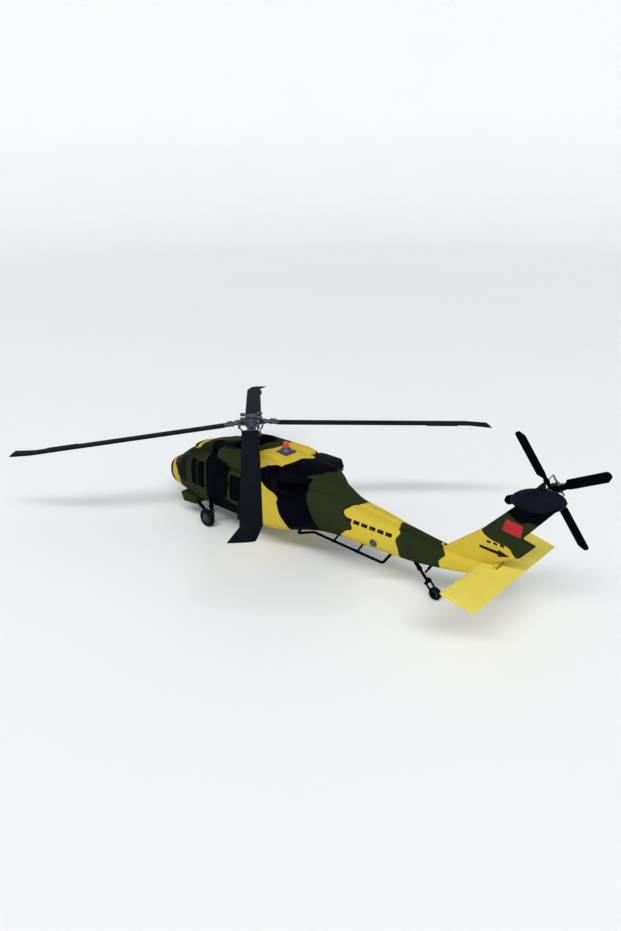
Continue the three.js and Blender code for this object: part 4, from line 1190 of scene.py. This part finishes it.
def build_blade_root(number, arm):
    """Spindle, folding-lug cuff, damper, pitch horn and bolts, then the pitch link."""
    cuff = Shape(block((4.6, -1.15, -1.15), (6.6, 1.15, 1.0), 0.3))
    cuff.add(tube([(6.2, 0, -0.1), (8.4, 0, -0.35)], [1.05, 0.9], 20))
    cuff.add(block((8.0, -1.9, -1.25), (8.9, 1.9, 0.25), 0.2))
    cuff.add(block((8.6, 0.7, -1.2), (11.4, 1.95, 0.25), 0.2))
    cuff.add(block((8.6, -1.95, -1.2), (11.4, -0.7, 0.25), 0.2))
    cuff.add(block((9.6, -2.2, -1.2), (12.6, 2.1, -0.35), 0.2))
    head = turned([(0, -0.1), (0.42, -0.1), (0.42, 0.2), (0.3, 0.32), (0, 0.32)], 6)
    for x, z in ((9.5, 0.27), (10.8, 0.27), (12.0, -0.33)):
        for y in (1.3, -1.3):
            cuff.add(head, Matrix.Translation((x, y, z)))
    cap = turned([(0, 0), (0.8, 0), (0.8, 0.7), (0.55, 0.95), (0, 0.95)], 20)
    cuff.add(cap, Matrix.Translation((9.4, 0, 0.0)))
    cuff.add(block((4.9, 1.0, -1.0), (6.3, 3.6, 0.15), 0.25))
    cuff.add(tube([(5.0, -1.0, 0.2), (5.3, -2.3, 0.3), (7.8, -2.1, 0.1), (8.2, -1.4, -0.2)], 0.36, 12))
    cuff.add(tube([(5.9, -2.28, 0.27), (7.3, -2.16, 0.15)], 0.58, 16))
    piece(f"cuff_{number}_assembly", cuff, DARK_METAL, "main_rotor", (f"blade_cuff_{number}",), arm)
    rod = [(5.7, 3.0, -1.0), (5.62, 2.94, -1.6), (3.5, 1.5, -5.1), (3.4, 1.4, -5.5)]
    link = Shape(tube(rod, [0.55, 0.3, 0.3, 0.5], 12))
    link.add(tube([(4.95, 2.48, -2.8), (4.2, 1.97, -4.0)], 0.42, 12))
    link.add(tube([(5.7, 3.0, -2.0), (5.7, 3.0, -0.9)], 0.6, 14))
    piece(f"pitch_rod_{number}", link, DARK_METAL, "main_rotor", (f"pitch_link_{number}",), arm)


def build_mast(rotor):
    """The mast, its bearing in the roof and the swashplate."""
    shaft = [
        (0, -18.4), (2.0, -18.4), (2.0, -17.4), (1.2, -17.2), (1.2, -8.6), (1.45, -8.5), (1.45, -8.1),
        (1.2, -8.0), (1.2, -4.6), (1.6, -4.4), (1.6, -3.4), (1.25, -3.2), (1.5, -1.8), (0, -1.8),
    ]
    piece("mast_tube", Shape(turned(shaft, 32)), PALE_METAL, "main_rotor", ("rotor_mast",), rotor)
    bush = [
        (1.35, -16.8), (2.1, -16.8), (2.1, -13.7), (3.4, -13.6), (3.4, -12.9), (2.7, -12.5), (2.5, -10.2),
        (2.1, -9.6), (1.35, -9.4), (1.35, -16.8),
    ]
    bearing = Shape(turned(bush, 32))
    for turn in spokes(8):
        bearing.add(bolt(0.26, 0, 0.35), turn @ Matrix.Translation((3.0, 0, -12.95)))
    piece("mast_bearing_housing", bearing, BLACK_PLASTIC, "airframe", ("mast_bearing",), rotor)
    disc = [
        (1.35, -7.0), (3.3, -7.0), (3.9, -6.8), (3.9, -6.5), (3.6, -6.4), (3.9, -6.3), (3.9, -5.95),
        (3.4, -5.8), (2.4, -5.8), (2.0, -5.2), (1.35, -5.1), (1.35, -7.0),
    ]
    plate = Shape(turned(disc, 40))
    for turn in spokes(4, BLADE_AZIMUTH + 0.32):
        plate.add(block((2.6, -0.6, -6.6), (4.3, 0.6, -5.6), 0.15), turn)
    piece("swashplate_disc", plate, DARK_METAL, "main_rotor", ("swashplate",), rotor)


def build_hub(head):
    """The hub with four forked lugs and, above it, the cross with round weights."""
    core = [(0, -1.8), (2.2, -1.8), (2.7, -1.5), (2.7, 1.2), (2.3, 1.7), (1.2, 1.8), (1.2, 2.1), (0, 2.1)]
    hub = Shape(turned(core, 36))
    for turn in spokes(4):
        hub.add(block((1.6, -1.5, -1.3), (4.6, 1.5, -0.55), 0.2), turn)
        hub.add(block((1.6, -1.5, 0.5), (4.6, 1.5, 1.25), 0.2), turn)
        hub.add(tube([(3.9, 0, -1.5), (3.9, 0, 1.5)], 0.7, 16), turn)
        hub.add(bolt(0.3, 0, 0.3), turn @ Matrix.Translation((2.0, 0.9, 1.35)))
    piece("hub_body", hub, DARK_METAL, "main_rotor", ("rotor_hub",), head)
    absorber = Shape(turned([(0, 1.9), (1.7, 1.9), (1.7, 2.9), (1.3, 3.2), (0.9, 3.6), (0, 3.6)], 28))
    weight = [
        (0, 1.95), (0.95, 1.95), (1.15, 2.15), (1.15, 2.4), (0.9, 2.5), (0.9, 2.7), (1.15, 2.8), (1.15, 3.05),
        (0.95, 3.25), (0, 3.25),
    ]
    for turn in spokes(4, math.pi / 4):
        absorber.add(tube([(1.0, 0, 2.6), (3.0, 0, 2.6), (5.0, 0, 2.6)], [0.75, 0.5, 0.5], 12), turn)
        absorber.add(turned(weight, 24), turn @ Matrix.Translation((5.67, 0, 0)))
    piece("absorber_arms", absorber, DARK_METAL, "main_rotor", ("vibration_absorber",), head)


def build_main_rotor():
    rotor = Matrix.Translation(HUB) @ Matrix.Rotation(MAST_TILT, 4, "Y")
    build_mast(rotor)
    build_hub(rotor @ Matrix.Rotation(BLADE_AZIMUTH, 4, "Z"))
    for index, turn in enumerate(spokes(4, BLADE_AZIMUTH)):
        build_blade(index + 1, rotor @ turn)
        build_blade_root(index + 1, rotor @ turn)


# The tail rotor's own frame: origin at the hub, Z outboard along the shaft, X forward.
TAIL_PLACE = (
    Matrix.Translation(TAIL_HUB)
    @ Matrix.Rotation(TAIL_TOE, 4, "Z")
    @ Matrix.Rotation(math.pi / 2 - TAIL_CANT, 4, "X")
)


def build_tail_blades(spin):
    """Two crossed paddles, each a beam with a blade at both ends."""
    outline = wing_section(0.15, 10)
    # Radius, trailing edge, leading edge and thickness along one blade.
    stations = [
        (-0.8, -0.9, 0.9, 1.0), (5.0, -0.9, 0.9, 1.0), (5.4, -1.1, 0.93, 1.0), (6.9, -2.5, 1.17, 1.0),
        (7.3, -2.6, 1.2, 1.0), (14.0, -2.6, 1.2, 1.0), (TAIL_RADIUS - 2.2, -2.6, 1.2, 1.0),
        (TAIL_RADIUS - 0.8, -2.6, 0.3, 0.9), (TAIL_RADIUS - 0.1, -2.0, -0.25, 0.8),
        (TAIL_RADIUS, -1.85, -0.4, 0.6),
    ]
    blade = loft([[(r, front + t * (front - back), h * TAIL_CHORD * thick) for t, h in outline]
                  for r, back, front, thick in stations])
    for number, offset in ((1, TAIL_BEAM_OFFSET), (2, -TAIL_BEAM_OFFSET)):
        quarter = Matrix.Rotation((number - 1) * math.pi / 2, 4, "Z")
        place = spin @ quarter @ Matrix.Translation((0, 0, offset))
        paddle = Shape()
        for turn in spokes(2):
            paddle.add(blade, turn)
        for x in (4.0, -4.0):
            paddle.add(block((x - 0.8, -1.0, -0.42), (x + 0.8, 1.0, 0.42), 0.15))
        piece(f"tail_blades_{number}", paddle, TAIL_BLADE, "tail_rotor", (f"tail_paddle_{number}",), place)


def build_tail_rotor():
    """The shaft, the blades, the plate over them and the spider that turns them."""
    spin = TAIL_PLACE @ Matrix.Rotation(TAIL_PHASE, 4, "Z")
    shaft = [
        (0, -7.4), (0.8, -7.4), (0.8, -3.3), (1.1, -3.1), (1.1, -2.1), (0.9, -1.9), (0.9, -1.4), (0, -1.4),
    ]
    drive = Shape(turned(shaft, 24))
    for turn in spokes(4, 0.3):
        drive.add(block((0.6, -0.45, -3.0), (1.9, 0.45, -2.2), 0.12), turn)
    piece("tail_drive_shaft", drive, PALE_METAL, "tail_rotor", ("tail_shaft",), TAIL_PLACE)
    build_tail_blades(spin)
    disc = [(0, 1.2), (1.9, 1.2), (2.1, 1.35), (2.1, 1.6), (1.5, 1.75), (0.8, 1.8), (0.7, 3.0), (0, 3.0)]
    plate = Shape(turned(disc, 24))
    for turn in spokes(4, math.pi / 4):
        plate.add(block((0.6, -0.5, 1.2), (2.9, 0.5, 1.65), 0.12), turn)
        plate.add(bolt(0.28, 1.6, 1.95), turn @ Matrix.Translation((2.4, 0, 0)))
    piece("tail_hub_disc", plate, DARK_METAL, "tail_rotor", ("tail_hub_plate",), spin)
    spider = Shape(turned([(0, 3.1), (0.8, 3.1), (1.0, 3.3), (1.0, 4.0), (0.7, 4.2), (0, 4.2)], 20))
    for turn in spokes(4):
        spider.add(tube([(0.6, 0, 3.65), (3.2, 0, 3.6), (4.2, 0, 3.6)], [0.48, 0.36, 0.36], 12), turn)
        spider.add(tube([(4.0, 0, 3.85), (4.0, 0, 1.4), (4.0, 0.5, 0.7)], 0.22, 8), turn)
    piece("tail_spider", spider, PALE_METAL, "tail_rotor", ("tail_pitch_beam",), spin)


def build_tail_fairing():
    """The tail gearbox under a smooth dome with two fins on it, bored for the drive shaft."""
    long, wide, tall = 9.8, 4.2, 4.3
    round_it = [(wide * math.cos(k * math.pi / 18), tall * math.sin(k * math.pi / 18)) for k in range(36)]
    rings = []
    for k in range(1, 25):
        x, size = long * math.cos(math.pi * k / 25), math.sin(math.pi * k / 25)
        rings.append([(x, y * size, z * size) for y, z in round_it])
    lean = Matrix.Translation((-137.2, -1.2, 52.9)) @ Matrix.Rotation(math.radians(12), 4, "Y")
    dome = Shape(loft(rings), lean).object("gearbox_dome")
    carve(dome, Shape(tube([(0, 0, -8.4), (0, 0, 2.0)], 1.0, 24), TAIL_PLACE))
    settle(dome, DOME_PLASTIC, nodes=("tail_gearbox_fairing",))
    fins = Shape(prism([(-134.9, 55.9), (-139.4, 55.9), (-138.7, 59.8), (-138.2, 60.1)], -2.0, -0.9))
    fins.add(prism([(-141.0, 52.4), (-147.0, 54.7), (-147.0, 54.9), (-141.0, 56.6)], -1.8, -0.7))
    piece("gearbox_fins", fins, DOME_PLASTIC, nodes=("tail_gearbox_fairing",))


# ---------------------------------------------------------------- floor, light and camera
CAMERA_PLACE = Vector((-224.08, 207.29, 150.23))
CAMERA_YAW = math.radians(-47.69)
CAMERA_PITCH = math.radians(21.6)
CAMERA_ROLL = math.radians(-0.22)
CAMERA_LENS = 27.0
STAGE_CENTRE = Vector((-40.0, 0.0, 0.0))


def in_frame(point):
    return Vector((point[0] + SHIFT, point[1], point[2])) * MM


def build_stage():
    """A flat pale floor that sweeps up into a low round wall."""
    profile = [(0.0, 0.0), (400.0, 0.0), (900.0, 0.0), (1500.0, 0.0), (1750.0, 20.0), (1950.0, 90.0),
               (2100.0, 220.0), (2180.0, 420.0), (2200.0, 900.0)]
    shape = Shape(turned(profile, 64), Matrix.Translation(STAGE_CENTRE))
    floor = shape.object("floor")
    floor.data.transform(Matrix.Scale(MM, 4) @ Matrix.Translation((SHIFT, 0, 0)))
    floor.data.materials.append(floor_material())
    for polygon in floor.data.polygons:
        polygon.use_smooth = True


def build_light():
    """One long soft light high on the left, and an even pale room."""
    data = bpy.data.lights.new("key", "AREA")
    data.shape = "RECTANGLE"
    data.size = 3.5
    data.size_y = 0.45
    data.energy = 79.0
    data.color = (1.0, 0.99, 0.97)
    lamp = bpy.data.objects.new("key", data)
    target = Vector((-30.0, 0.0, 10.0))
    away = Vector((-1103.0, 1616.0, 2522.0))
    turn = (away * -MM).to_track_quat("-Z", "Y").to_matrix().to_4x4()
    lamp.matrix_world = Matrix.Translation(in_frame(target + away)) @ turn
    bpy.context.scene.collection.objects.link(lamp)
    world = bpy.data.worlds.new("soft_room")
    world.use_nodes = True
    background = world.node_tree.nodes["Background"]
    background.inputs[0].default_value = (0.95, 0.975, 1.0, 1)
    background.inputs[1].default_value = 0.45
    bpy.context.scene.world = world
    bpy.context.scene.view_settings.view_transform = "Standard"


def build_camera():
    level = Vector((math.cos(CAMERA_YAW), math.sin(CAMERA_YAW), 0)) * math.cos(CAMERA_PITCH)
    forward = level - Vector((0, 0, math.sin(CAMERA_PITCH)))
    right = forward.cross(Vector((0, 0, 1))).normalized()
    up = right.cross(forward)
    across = right * math.cos(CAMERA_ROLL) + up * math.sin(CAMERA_ROLL)
    over = up * math.cos(CAMERA_ROLL) - right * math.sin(CAMERA_ROLL)
    data = bpy.data.cameras.new("camera")
    data.lens = CAMERA_LENS
    data.clip_start = 0.01
    data.clip_end = 20
    camera = bpy.data.objects.new("camera", data)
    turn = Matrix((across, over, -forward)).transposed().to_4x4()
    camera.matrix_world = Matrix.Translation(in_frame(CAMERA_PLACE)) @ turn
    bpy.context.scene.collection.objects.link(camera)
    bpy.context.scene.camera = camera


BUILDERS = (
    build_fuselage, build_windshield, build_side_windows, build_cabin_doors, build_rivets, build_fin,
    build_cowls, build_nacelles, build_exhausts, build_lamp, build_marks, build_main_gear, build_tail_gear,
    build_antenna_rail, build_stabiliser, build_main_rotor, build_tail_rotor, build_tail_fairing,
    build_stage, build_light, build_camera,
)
for build in BUILDERS:
    build()
